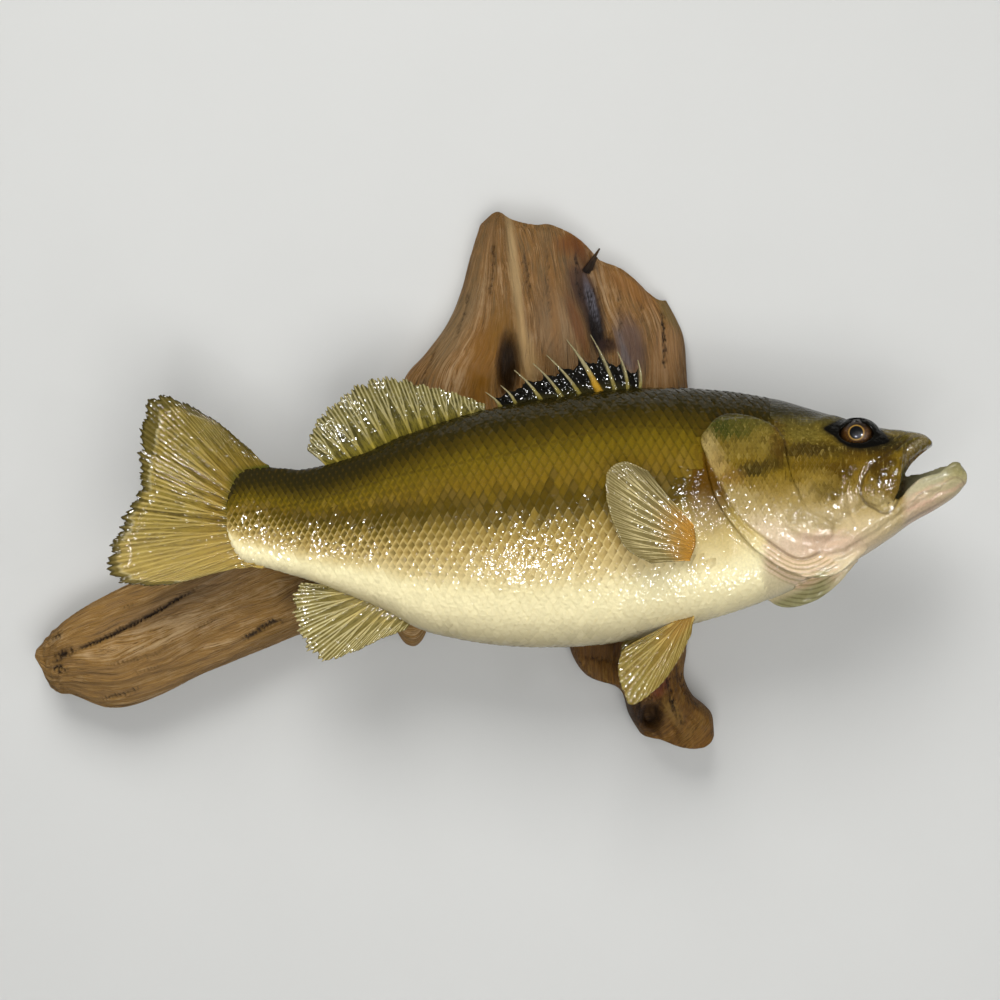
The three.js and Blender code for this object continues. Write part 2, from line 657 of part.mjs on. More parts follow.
addNode('dorsal_fin_spiny', posed(makeSpinyDorsalFin()), FINISH.finDark);
addNode('dorsal_fin_soft', posed(makeSoftDorsalFin()), FINISH.finSoft);
addNode('caudal_fin', posed(makeCaudalFin()), FINISH.finSoft);
addNode('anal_fin', posed(makeAnalFin()), FINISH.finPale);

const seat = posed(body(-147, HEAD_X, 2 * GAP));
addNode('driftwood_slab', makeSlab(seat), FINISH.wood);
addNode('driftwood_root', makeRoot(seat), FINISH.wood);
addNode('driftwood_log', makeLog(), FINISH.wood);

export default mount;
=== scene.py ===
"""A mounted largemouth bass on driftwood, as a still, life-size wall model.

The animal is drawn straight first, in millimetres: x runs along it toward the head, y across it
(its right side, which faces the room, is negative) and z up. pose() then bends every point of it
into the turn of the mount, and the finished meshes are in metres. Each vertex keeps its place on
the straight animal as an attribute, which the markings read.
"""

import logging
import math
from collections.abc import Callable, Sequence
from dataclasses import dataclass
from enum import Enum
from functools import partialmethod

import bmesh
import bpy
import numpy as np
from mathutils import Matrix, Vector
from mathutils.bvhtree import BVHTree


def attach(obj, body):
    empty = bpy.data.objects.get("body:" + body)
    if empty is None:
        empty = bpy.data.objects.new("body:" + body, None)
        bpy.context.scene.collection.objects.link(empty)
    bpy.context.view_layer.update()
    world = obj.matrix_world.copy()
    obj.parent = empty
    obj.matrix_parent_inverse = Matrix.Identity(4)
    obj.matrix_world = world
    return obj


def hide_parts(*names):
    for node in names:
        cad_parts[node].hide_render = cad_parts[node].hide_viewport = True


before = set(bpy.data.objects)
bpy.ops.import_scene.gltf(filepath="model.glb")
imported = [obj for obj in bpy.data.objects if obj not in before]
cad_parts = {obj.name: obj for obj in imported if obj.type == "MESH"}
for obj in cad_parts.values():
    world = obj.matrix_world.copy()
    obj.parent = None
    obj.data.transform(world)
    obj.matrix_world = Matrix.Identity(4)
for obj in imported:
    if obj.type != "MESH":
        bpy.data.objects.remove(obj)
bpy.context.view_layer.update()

LOG = logging.getLogger("bass")

MM = 0.001
Array = np.ndarray
Place = Callable[[Array, Array], Array]
Mesh = bpy.types.Mesh
BMesh = bmesh.types.BMesh
Material = bpy.types.Material
Socket = bpy.types.NodeSocket


class Side(Enum):
    """A side of the fish, as the sign of its y."""

    RIGHT = -1
    LEFT = 1

    @property
    def word(self) -> str:
        """The side's name in lower case."""
        return self.name.lower()


# ---------------------------------------------------------------- curves


class Spline:
    """A smooth function through (x, value) knots, level beyond both ends."""

    def __init__(self, *knots: tuple[float, float]) -> None:
        """Keeps the knots and the slope at each.

        Args:
            knots: (x, value) pairs in rising x.
        """
        self.x, self.y = np.array(knots, float).T
        inner = (self.y[2:] - self.y[:-2]) / (self.x[2:] - self.x[:-2])
        ends = np.diff(self.y)[[0, -1]] / np.diff(self.x)[[0, -1]]
        self.slope = np.concatenate([ends[:1], inner, ends[1:]])

    def __call__(self, x: Array | float) -> Array:
        """The value at x.

        Args:
            x: one place or an array of them.

        Returns:
            An array shaped as x is.
        """
        x = np.clip(np.asarray(x, float), self.x[0], self.x[-1])
        i = np.clip(np.searchsorted(self.x, x, side="right") - 1, 0, len(self.x) - 2)
        width = self.x[i + 1] - self.x[i]
        rise = self.y[i + 1] - self.y[i]
        t = (x - self.x[i]) / width
        left = self.slope[i] - rise / width
        right = rise / width - self.slope[i + 1]
        return self.y[i] + rise * t + (1 - t) * t * width * (left * (1 - t) + right * t)


def level(value: float) -> Spline:
    """A profile that has one value all along."""
    return Spline((0, value), (1, value))


class Path:
    """A centripetal Catmull-Rom curve, read by its share of length from 0 to 1."""

    def __init__(self, points: Sequence[Sequence[float]], closed: bool = False, steps: int = 24) -> None:
        """Samples the curve.

        Args:
            points: (x, z) or (x, y, z) points that it runs through.
            closed: whether it returns to its first point.
            steps: samples between two points.
        """
        p = np.array([(q[0], 0.0, q[1]) if len(q) == 2 else q for q in points], float)
        if closed:
            p = np.vstack([p[-1], p, p[0], p[1]])
        else:
            p = np.vstack([2 * p[0] - p[1], p, 2 * p[-1] - p[-2]])
        t = np.linspace(0, 1, steps, endpoint=False)[:, None]
        runs = []
        for a, b, c, d in zip(p, p[1:], p[2:], p[3:]):
            d0, d1, d2 = (max(np.linalg.norm(v) ** 0.5, 1e-4) for v in (b - a, c - b, d - c))
            m1 = ((b - a) / d0 - (c - a) / (d0 + d1) + (c - b) / d1) * d1
            m2 = ((c - b) / d1 - (d - b) / (d1 + d2) + (d - c) / d2) * d1
            runs.append(b + m1 * t + (3 * (c - b) - 2 * m1 - m2) * t**2 + (2 * (b - c) + m1 + m2) * t**3)
        self.points = np.vstack([*runs, p[-2][None]])
        lengths = np.linalg.norm(np.diff(self.points, axis=0), axis=1)
        self.length = float(lengths.sum())
        self.share = np.concatenate([[0], np.cumsum(lengths)]) / self.length

    def __call__(self, t: Array | float) -> Array:
        """Points at shares t of the length, as an array with a last axis of three."""
        t = np.clip(t, 0, 1)
        return np.stack([np.interp(t, self.share, self.points[:, k]) for k in range(3)], -1)

    def distance(self, x: Array, z: Array) -> Array:
        """How far points (x, z) are from the curve, seen along y."""
        a = self.points[:-1, [0, 2]]
        d = self.points[1:, [0, 2]] - a
        best = np.full(x.shape, np.inf)
        for (ax, az), (dx, dz) in zip(a, d):
            t = np.clip(((x - ax) * dx + (z - az) * dz) / max(dx * dx + dz * dz, 1e-9), 0, 1)
            best = np.minimum(best, (x - ax - t * dx) ** 2 + (z - az - t * dz) ** 2)
        return np.sqrt(best)

    def inside(self, x: Array, z: Array) -> Array:
        """Signed distance of points (x, z) inside a closed curve: negative outside it."""
        a, b = self.points[:-1, [0, 2]], self.points[1:, [0, 2]]
        odd = np.zeros(x.shape, bool)
        for (ax, az), (bx, bz) in zip(a, b):
            if az != bz:
                odd ^= ((az > z) != (bz > z)) & (x < (bx - ax) * (z - az) / (bz - az) + ax)
        return np.where(odd, 1, -1) * self.distance(x, z)


def smooth(low: float, high: float, value: Array | float) -> Array:
    """A smooth step from 0 at low to 1 at high."""
    t = np.clip((np.asarray(value, float) - low) / (high - low), 0, 1)
    return t * t * (3 - 2 * t)


def bell(value: Array | float, width: float) -> Array:
    """A bell curve of height 1 about 0."""
    return np.exp(-((np.asarray(value, float) / width) ** 2))


def ripple(x: Array, y: Array, seed: int, waves: int = 6) -> Array:
    """Gentle irregular variation between about -1 and 1, the same on every run.

    Args:
        x: first coordinate, one cycle to a unit.
        y: second coordinate.
        seed: which pattern.
        waves: how many waves are added up.

    Returns:
        An array shaped as x and y are.
    """
    draw = np.random.default_rng(seed)
    total = np.zeros(np.broadcast(x, y).shape)
    for _ in range(waves):
        turn, size, phase = draw.uniform(0, 2 * math.pi), draw.uniform(0.6, 1.7), draw.uniform(0, 7)
        total = total + np.sin(2 * math.pi * size * (x * math.cos(turn) + y * math.sin(turn)) + phase)
    return total / math.sqrt(waves / 2) / 1.5


def stacked(*parts: Array | float) -> Array:
    """Arrays and numbers that fit together, as one array whose last axis runs over them."""
    return np.stack(np.broadcast_arrays(*parts), -1)


# ---------------------------------------------------------------- the straight body and its pose

SNOUT_X = 215.5
CHIN_X = 234.5
TAIL_END_X = -196.2
HYPURAL_X, HYPURAL_REACH, HYPURAL_Z, HYPURAL_HALF = -182.0, 14.5, -27.0, 28.5
FISH_Y = -78.0


@dataclass(frozen=True)
class Bend:
    """Where the body's middle plane leaves a straight line: past start, over length, to a slope."""

    start: float
    length: float
    slope: float

    def at(self, x: Array) -> tuple[Array, Array]:
        """How far the plane stands off at x, and its slope there."""
        run = np.abs(x - self.start)
        curved = np.minimum(run, self.length)
        off = self.slope * curved**2 / (2 * self.length) + self.slope * (run - curved)
        return off, self.slope * curved / self.length


@dataclass(frozen=True)
class Shape:
    """The outline of a long body: its top, bottom and half width, and how square its sections are."""

    top: Spline
    bottom: Spline
    half: Spline
    girth: Spline
    square: Spline

    @property
    def ends(self) -> tuple[float, float]:
        """The x where its outline starts and the x where it stops."""
        return float(self.top.x[0]), float(self.top.x[-1])

    def limits(self, x: Array) -> tuple[Array, Array]:
        """The lowest and highest z at x."""
        return self.bottom(x), self.top(x)

    def share(self, x: Array, z: Array) -> Array:
        """Height z as a share of the body's at x, from 0 at the belly to 1 at the back."""
        bottom, top = self.limits(x)
        return (z - bottom) / np.maximum(top - bottom, 1)

    def point(self, x: Array, angle: Array, grow: Array | float = 0) -> Array:
        """A point of the surface.

        Args:
            x: place along the body.
            angle: turn round the section, from 0 at the left side through the back.
            grow: how far the surface is moved outward.

        Returns:
            Points with a last axis of three.
        """
        bottom, top = self.limits(x)
        middle = bottom + self.girth(x) * (top - bottom)
        power = 1 - 0.45 * self.square(x)
        c, s = np.cos(angle), np.sin(angle)
        reach = np.where(s > 0, top - middle, middle - bottom)
        across = np.abs(c) ** np.where(s > 0, 1.12 * power, 0.98)
        y = (self.half(x) + grow) * np.sign(c) * across
        z = middle + (reach + grow) * np.sign(s) * np.abs(s) ** power
        return stacked(x, y, z)

    def flank(self, x: Array, z: Array) -> Array:
        """Half the body's width at x and height z."""
        bottom, top = self.limits(x)
        middle = bottom + self.girth(x) * (top - bottom)
        reach = np.where(z > middle, top - middle, middle - bottom)
        return self.half(x) * np.sqrt(1 - np.clip(np.abs(z - middle) / reach, 0, 1) ** 2)

    def loft(self, start: float, end: float, rings: int, around: int,
             grow: Callable[[Array], Array] | float = 0) -> Mesh:
        """A closed length of the body.

        Args:
            start: first x.
            end: last x.
            rings: quads along it.
            around: quads round it.
            grow: how far it is moved outward, or that as a function of x.

        Returns:
            A closed mesh, capped at both ends.
        """
        def place(u: Array, v: Array) -> Array:
            """The surface, u round it and v along it."""
            x = start + (end - start) * v
            return self.point(x, 2 * math.pi * u, grow(x) if callable(grow) else grow)

        return closed(gridded(around, rings, place))


class Animal(Shape):
    """The whole body, whose hind end is rounded like a paddle under the tail fin."""

    def limits(self, x: Array) -> tuple[Array, Array]:
        """The lowest and highest z at x."""
        share = np.clip((HYPURAL_X - x) / HYPURAL_REACH, 0, 0.999)
        half = HYPURAL_HALF * np.sqrt(1 - share**2)
        tail = x < HYPURAL_X
        return (np.where(tail, HYPURAL_Z - half, self.bottom(x)),
                np.where(tail, HYPURAL_Z + half, self.top(x)))


BODY = Animal(
    top=Spline(
        (-182, 1.5), (-170, 2), (-150, 1), (-118, 9.5), (-94, 20), (-47, 35), (0, 43.5), (47, 48.5),
        (90, 47.8), (124, 43), (158, 32.5), (186, 24.6), (206, 21.6), (212, 19.6), (SNOUT_X, 15.8)),
    bottom=Spline(
        (-182, -55.5), (-147, -66), (-106, -82), (-87, -92.5), (-71, -98), (-35, -104), (0, -105),
        (35, -102), (83, -90), (112, -81), (140, -69), (158, -58), (168, -44), (178, -33),
        (189, -31.5), (195, -26), (198.3, -11), (201, -2), (204, 4), (208, 8.5), (212, 11.8),
        (SNOUT_X, 14.4)),
    half=Spline(
        (-196.5, 2.4), (-182, 6), (-150, 12.5), (-118, 18), (-94, 23.5), (-60, 31.5), (-30, 37.5),
        (15, 41), (55, 40), (85, 37), (112, 34), (150, 30), (175, 26), (190, 22.8), (203, 17.5),
        (211, 12), (SNOUT_X, 6)),
    girth=Spline((-190, 0.5), (-100, 0.52), (60, 0.55), (130, 0.5), (175, 0.52), (SNOUT_X, 0.5)),
    square=Spline((100, 0), (150, 0.3), (190, 0.45), (SNOUT_X, 0.3)),
)
JAW = Shape(
    top=Spline((150, -30), (164, -22), (178, -14), (190, -6), (198, -1.5), (212, 1), (220, 3), (227, 4.2),
               (231, 3), (CHIN_X, -2)),
    bottom=Spline((150, -64), (165, -57), (176, -51), (192, -40), (203, -31.5), (219, -22),
                  (229, -14.5), (CHIN_X, -7.5)),
    half=Spline((150, 22), (165, 23), (178, 20.5), (190, 18), (205, 16.6), (220, 12.8), (229, 8.8),
                (CHIN_X, 4)),
    girth=level(0.45),
    square=level(0.4),
)

HEAD_BEND = Bend(start=70, length=80, slope=0.208)
TAIL_BEND = Bend(start=-90, length=100, slope=0.16)
ROLL_START, ROLL_LENGTH, ROLL_ANGLE, ROLL_Z = 40.0, 100.0, math.radians(7), -20.0


def pose(points: Array) -> Array:
    """Bends points of the straight fish into the mount.

    Args:
        points: an (n, 3) array in millimetres.

    Returns:
        The posed points, in millimetres.
    """
    x, y, z = points.T
    head_off, head_slope = HEAD_BEND.at(x)
    tail_off, tail_slope = TAIL_BEND.at(x)
    ahead, behind = x > HEAD_BEND.start, x < TAIL_BEND.start
    off = np.where(ahead, head_off, np.where(behind, tail_off, 0))
    yaw = np.arctan(np.where(ahead, head_slope, np.where(behind, -tail_slope, 0)))
    roll = ROLL_ANGLE * smooth(0, 1, (x - ROLL_START) / ROLL_LENGTH)
    height = z - ROLL_Z
    across = y * np.cos(roll) + height * np.sin(roll)
    return stacked(x + across * np.sin(yaw), FISH_Y - off + across * np.cos(yaw),
                   ROLL_Z + height * np.cos(roll) - y * np.sin(roll))


# ---------------------------------------------------------------- making meshes


def fetched(items: bpy.types.bpy_prop_collection, key: str, width: int = 3, kind: type = float) -> Array:
    """What the items of a collection hold under a key, as an (n, width) array."""
    found = np.empty(len(items) * width, kind)
    items.foreach_get(key, found)
    return found.reshape(-1, width)


def coordinates(mesh: Mesh) -> Array:
    """The mesh's vertices as an (n, 3) array."""
    return fetched(mesh.vertices, "co")


def normals(mesh: Mesh) -> Array:
    """The mesh's vertex normals as an (n, 3) array."""
    return fetched(mesh.vertices, "normal")


def move(mesh: Mesh, points: Array) -> Mesh:
    """Puts the mesh's vertices at points and returns the mesh."""
    mesh.vertices.foreach_set("co", np.ascontiguousarray(points, float).ravel())
    mesh.update()
    return mesh


def write(mesh: Mesh, name: str, *values: Array | float) -> None:
    """Stores three values on each of the mesh's vertices; a number goes on all of them."""
    layer = mesh.attributes.get(name) or mesh.attributes.new(name, "FLOAT_VECTOR", "POINT")
    layer.data.foreach_set("vector", np.ascontiguousarray(stacked(*values), float).ravel())


def read(mesh: Mesh, name: str) -> Array:
    """The (n, 3) array of values stored on the mesh's vertices."""
    return fetched(mesh.attributes[name].data, "vector")


def finished(bm: BMesh, name: str) -> Mesh:
    """The bmesh as a new mesh of that name."""
    mesh = bpy.data.meshes.new(name)
    bm.to_mesh(mesh)
    bm.free()
    return mesh


def gridded(columns: int, rows: int, place: Place) -> Mesh:
    """A grid of quads laid over a surface, which keeps (u, v) in its attribute "grid".

    Args:
        columns: quads along u.
        rows: quads along v.
        place: gives points for arrays u and v from 0 to 1.

    Returns:
        The open mesh.
    """
    bm = bmesh.new()
    bmesh.ops.create_grid(bm, x_segments=columns, y_segments=rows, size=0.5)
    mesh = finished(bm, "grid")
    u, v = (coordinates(mesh)[:, :2] + 0.5).T
    write(mesh, "grid", u, v, 0)
    return move(mesh, place(u, v))


def edited(mesh: Mesh, *steps: Callable[[BMesh], None]) -> Mesh:
    """Runs bmesh steps on a mesh and returns it."""
    bm = bmesh.new()
    bm.from_mesh(mesh)
    for step in steps:
        step(bm)
    bm.to_mesh(mesh)
    bm.free()
    return mesh


def weld(bm: BMesh) -> None:
    """Merges vertices that coincide, and drops what that leaves flat."""
    bmesh.ops.remove_doubles(bm, verts=bm.verts, dist=1e-4)
    bmesh.ops.dissolve_degenerate(bm, edges=bm.edges, dist=1e-5)


def cap(bm: BMesh) -> None:
    """Fills the open ends with faces that fan out from their middle."""
    made = bmesh.ops.holes_fill(bm, edges=bm.edges, sides=0)
    bmesh.ops.poke(bm, faces=made["faces"])


def outward(bm: BMesh) -> None:
    """Turns every face outward."""
    bmesh.ops.recalc_face_normals(bm, faces=bm.faces)


def closed(mesh: Mesh) -> Mesh:
    """Welds and caps a rolled-up grid, with its faces pointing out."""
    return edited(mesh, weld, cap, outward)


def joined(*meshes: Mesh) -> Mesh:
    """All the meshes as one."""
    bm = bmesh.new()
    for mesh in meshes:
        bm.from_mesh(mesh)
    return finished(bm, "joined")


def placed(name: str, data: bpy.types.ID) -> bpy.types.Object:
    """A new object in the scene that holds the data."""
    holder = bpy.data.objects.new(name, data)
    bpy.context.scene.collection.objects.link(holder)
    return holder


def modified(mesh: Mesh, kind: str, other: Mesh | None = None, **settings: object) -> Mesh:
    """A mesh after one modifier.

    Args:
        mesh: what it works on.
        kind: the modifier's type.
        other: a second mesh, for a Boolean.
        settings: values of the modifier's properties.

    Returns:
        A new mesh.
    """
    holder = placed("scratch", mesh)
    tool = placed("scratch", other) if other else None
    modifier = holder.modifiers.new("step", kind)
    if tool:
        modifier.object = tool
    for key, value in settings.items():
        setattr(modifier, key, value)
    evaluated = holder.evaluated_get(bpy.context.evaluated_depsgraph_get())
    result = bpy.data.meshes.new_from_object(evaluated)
    for scratch in filter(None, (holder, tool)):
        bpy.data.objects.remove(scratch)
    return result


def combine(mesh: Mesh, operation: str, *others: Mesh) -> Mesh:
    """The mesh after a UNION, DIFFERENCE or INTERSECT with each other mesh in turn."""
    for other in others:
        mesh = modified(mesh, "BOOLEAN", other, operation=operation, solver="MANIFOLD")
    return mesh


def strewn(template: Mesh, count: int) -> Mesh:
    """Copies of a template in one mesh, side by side until they are moved into place."""
    return modified(template, "ARRAY", count=count, use_relative_offset=False,
                    use_constant_offset=True, constant_offset_displace=(2, 0, 0))


def relaxed(mesh: Mesh, rounds: int) -> Mesh:
    """Evens out a mesh without shrinking it, by smoothing and swelling it in turn."""
    points = coordinates(mesh)
    ends = fetched(mesh.edges, "vertices", 2, np.int64)
    a, b = ends.T
    count = np.bincount(ends.ravel(), minlength=len(points))[:, None]
    for step in (0.5, -0.52) * rounds:
        mean = np.stack([
            np.bincount(a, points[b, k], len(points)) + np.bincount(b, points[a, k], len(points))
            for k in range(3)], -1) / count
        points = points + step * (mean - points)
    return move(mesh, points)


def remeshed(mesh: Mesh, voxel: float, relax: int) -> Mesh:
    """One even skin of quads over everything in the mesh.

    Args:
        mesh: closed shells, which may overlap.
        voxel: size of the quads.
        relax: rounds of smoothing.

    Returns:
        A new mesh.
    """
    return relaxed(modified(mesh, "REMESH", mode="VOXEL", voxel_size=voxel, adaptivity=0.0), relax)


def prism(outline: Path, low: float, high: float, steps: int = 120) -> Mesh:
    """A straight prism along y through a closed outline."""
    def place(u: Array, v: Array) -> Array:
        """The prism's side, u along the outline and v through it."""
        points = outline(u)
        points[:, 1] = low + (high - low) * v
        return points

    return closed(gridded(steps, 1, place))


def ball(centre: Sequence[float], radius: float, scale: Sequence[float] = (1, 1, 1),
         segments: int = 48) -> Mesh:
    """A ball, or with scale an ellipsoid, about a centre."""
    bm = bmesh.new()
    bmesh.ops.create_uvsphere(bm, u_segments=segments, v_segments=segments // 2, radius=radius)
    bmesh.ops.scale(bm, verts=bm.verts, vec=Vector(scale))
    bmesh.ops.translate(bm, verts=bm.verts, vec=Vector(centre))
    return finished(bm, "ball")


def rod(start: Sequence[float], end: Sequence[float], radius: float, radius_end: float,
        segments: int = 32) -> Mesh:
    """A round rod between two points, which may taper."""
    run = Vector(end) - Vector(start)
    bm = bmesh.new()
    bmesh.ops.create_cone(bm, cap_ends=True, segments=segments, radius1=radius, radius2=radius_end,
                          depth=run.length)
    turn = run.to_track_quat("Z", "Y").to_matrix()
    bmesh.ops.rotate(bm, verts=bm.verts, matrix=turn, cent=(0, 0, 0))
    bmesh.ops.translate(bm, verts=bm.verts, vec=Vector(start) + run / 2)
    return finished(bm, "rod")


# ---------------------------------------------------------------- shader graphs


def tone(code: str) -> tuple[float, float, float, float]:
    """A colour written as six hexadecimal digits, as linear red, green, blue and alpha."""
    parts = [int(code[i:i + 2], 16) / 255 for i in (0, 2, 4)]
    return (*(c / 12.92 if c <= 0.04045 else ((c + 0.055) / 1.055) ** 2.4 for c in parts), 1.0)


class Value:
    """A number socket of a shader graph, which adds Math nodes when it is reckoned with."""

    def __init__(self, graph: "Graph", socket: Socket) -> None:
        """Wraps a socket of a graph."""
        self.graph, self.socket = graph, socket

    def math(self, operation: str, *terms: "Value | float") -> "Value":
        """The result of a Math node on the terms.

        Args:
            operation: the node's operation.
            terms: its inputs in order.

        Returns:
            The node's output.
        """
        node = self.graph.node("ShaderNodeMath", {"operation": operation}, dict(enumerate(terms)))
        return Value(self.graph, node.outputs[0])

    def reckon(self, operation: str, *others: "Value | float") -> "Value":
        """The result of a Math node on self and then the others."""
        return self.math(operation, self, *others)

    __add__ = __radd__ = partialmethod(reckon, "ADD")
    __sub__ = partialmethod(reckon, "SUBTRACT")
    __mul__ = __rmul__ = partialmethod(reckon, "MULTIPLY")
    __truediv__ = partialmethod(reckon, "DIVIDE")
    __pow__ = partialmethod(reckon, "POWER")
    __abs__ = partialmethod(reckon, "ABSOLUTE")
    sine = partialmethod(reckon, "SINE")
    root = partialmethod(reckon, "SQRT")
    turn = partialmethod(reckon, "ARCTAN2")
    most = partialmethod(reckon, "MAXIMUM")

    def __rsub__(self, other: float) -> "Value":
        """other - self."""
        return self.math("SUBTRACT", other, self)

    def step(self, low: float, high: float) -> "Value":
        """A smooth step from 0 at low to 1 at high, where low may be the larger."""
        flip = low > high
        ends = (high, low, 1, 0) if flip else (low, high, 0, 1)
        node = self.graph.node(
            "ShaderNodeMapRange", {"interpolation_type": "SMOOTHSTEP"}, {0: self, **dict(enumerate(ends, 1))})
        return Value(self.graph, node.outputs[0])


Colour = str | Socket

RIPPLE_SCALE, RIPPLE_DETAIL = 430.0, 0.6
WET_IOR, WET_SPECULAR = 1.45, 0.2
WET_ROUGHNESS, WET_SPREAD = 0.06, 0.1
SCALE_BUMP = 0.00046
CROWN_LOW, CROWN_HIGH = 0.72, 0.92


class Graph:
    """The node graph of one material."""

    def __init__(self, name: str) -> None:
        """Starts an empty material of that name."""
        self.material = bpy.data.materials.new(name)
        self.material.use_nodes = True
        self.tree = self.material.node_tree
        self.tree.nodes.clear()

    def node(self, kind: str, settings: dict[str, object] | None = None,
             inputs: dict[int | str, object] | None = None) -> bpy.types.ShaderNode:
        """Adds a node.

        Args:
            kind: its type.
            settings: its properties, set first; "stops" gives a ramp its (place, colour) pairs.
            inputs: values, sockets or Values for its sockets, by index or name.

        Returns:
            The node.
        """
        node = self.tree.nodes.new(kind)
        for key, value in (settings or {}).items():
            if key == "stops":
                while len(node.color_ramp.elements) < len(value):
                    node.color_ramp.elements.new(0.5)
                for element, (place, colour) in zip(node.color_ramp.elements, value):
                    element.position, element.color = place, colour
            else:
                setattr(node, key, value)
        for key, value in (inputs or {}).items():
            socket = node.inputs[key]
            if isinstance(value, Value):
                self.tree.links.new(value.socket, socket)
            elif isinstance(value, Socket):
                self.tree.links.new(value, socket)
            else:
                socket.default_value = value
        return node

    def stored(self, name: str) -> tuple[Value, Value, Value]:
        """The three values of a vertex attribute."""
        return self.parts(self.node("ShaderNodeAttribute", {"attribute_name": name}).outputs["Vector"])

    def parts(self, vector: Socket) -> tuple[Value, Value, Value]:
        """The three values of a vector."""
        node = self.node("ShaderNodeSeparateXYZ", inputs={0: vector})
        return tuple(Value(self, output) for output in node.outputs)

    def here(self) -> Socket:
        """Where the point is, in metres."""
        return self.node("ShaderNodeTexCoord").outputs["Object"]

    def vector(self, x: Value | float, y: Value | float, z: Value | float) -> Socket:
        """Three values as one vector."""
        return self.node("ShaderNodeCombineXYZ", inputs={0: x, 1: y, 2: z}).outputs[0]

    def noise(self, where: Socket, scale: float, detail: float = 3.0, roughness: float = 0.55) -> Value:
        """Soft noise between 0 and 1."""
        node = self.node("ShaderNodeTexNoise", inputs={
            "Vector": where, "Scale": scale, "Detail": detail, "Roughness": roughness})
        return Value(self, node.outputs[0])

    def cells(self, where: Socket, scale: float) -> Value:
        """Distance to the nearest of scattered points."""
        node = self.node("ShaderNodeTexVoronoi", inputs={"Vector": where, "Scale": scale})
        return Value(self, node.outputs["Distance"])

    def mix(self, factor: Value | float, first: Colour, second: Colour, blend: str = "MIX") -> Socket:
        """The first colour, or colour code, turned into the second as factor goes from 0 to 1."""
        a, b = (tone(colour) if isinstance(colour, str) else colour for colour in (first, second))
        node = self.node("ShaderNodeMix", {"data_type": "RGBA", "blend_type": blend},
                         {"Factor": factor, 6: a, 7: b})
        return node.outputs[2]

    def ramp(self, factor: Value, *stops: tuple[float, str]) -> Socket:
        """The colour that a ramp of (place, colour code) stops has at factor."""
        pairs = [(place, tone(code)) for place, code in stops]
        return self.node("ShaderNodeValToRGB", {"stops": pairs}, {0: factor}).outputs[0]

    def bump(self, height: Value, distance: float, strength: float = 1.0) -> Socket:
        """A normal bent by a height from 0 to 1, which stands for a distance in metres."""
        node = self.node("ShaderNodeBump", inputs={
            "Strength": strength, "Distance": distance, "Height": height})
        return node.outputs[0]

    def depth(self) -> Value:
        """How far a point stands from the wall's plane, in millimetres and below 0 in the room."""
        return self.parts(self.here())[1] * (1 / MM)

    def ripples(self) -> Value:
        """Unevenness of a couple of millimetres, which breaks a wet surface's gloss into glints."""
        return self.noise(self.here(), RIPPLE_SCALE, RIPPLE_DETAIL)

    def crown(self, share: Value) -> tuple[Value, Value]:
        """Place across the animal, in millimetres, and the same faded out below the top of its head."""
        y, _, _ = self.stored("span")
        return y, y * share.step(CROWN_LOW, CROWN_HIGH)

    def finish(self, **inputs: object) -> Material:
        """Ends the graph in a Principled shader.

        Args:
            inputs: its sockets, with _ for the spaces in their names.

        Returns:
            The material.
        """
        shader = self.node("ShaderNodeBsdfPrincipled", inputs={
            key.replace("_", " "): value for key, value in inputs.items()})
        self.node("ShaderNodeOutputMaterial", inputs={0: shader.outputs[0]})
        return self.material

    def wet(self, colour: Colour, grain: Value, height: Value, distance: float,
            strength: float = 1.0) -> Material:
        """Ends the graph in a wet, glossy surface.

        Args:
            colour: its colour.
            grain: from 0 to 1, how rough it is.
            height: its relief, from 0 to 1.
            distance: what a height of 1 stands for, in metres.
            strength: how much of the relief is used.

        Returns:
            The material.
        """
        return self.finish(
            Base_Color=colour, Roughness=grain * WET_SPREAD + WET_ROUGHNESS, IOR=WET_IOR,
            Specular_IOR_Level=WET_SPECULAR, Normal=self.bump(height, distance, strength))


# ---------------------------------------------------------------- markings of the fish


@dataclass(frozen=True)
class Patch:
    """A soft oval of colour on the head or on the wood, placed by (x, z) in millimetres."""

    x: float
    z: float
    long: float
    high: float
    colour: str
    strength: float = 1.0
    turn: float = 0.0
    soft: float = 0.55

    def mask(self, graph: Graph, x: Value, z: Value) -> Value:
        """How much of its colour is at (x, z)."""
        c, s = math.cos(math.radians(self.turn)), math.sin(math.radians(self.turn))
        dx, dz = x - self.x, z - self.z
        along = (dx * c + dz * s) / self.long if self.turn else dx / self.long
        up = (dz * c - dx * s) / self.high if self.turn else dz / self.high
        return (along * along + up * up).root().step(1 + self.soft, 1 - self.soft) * self.strength


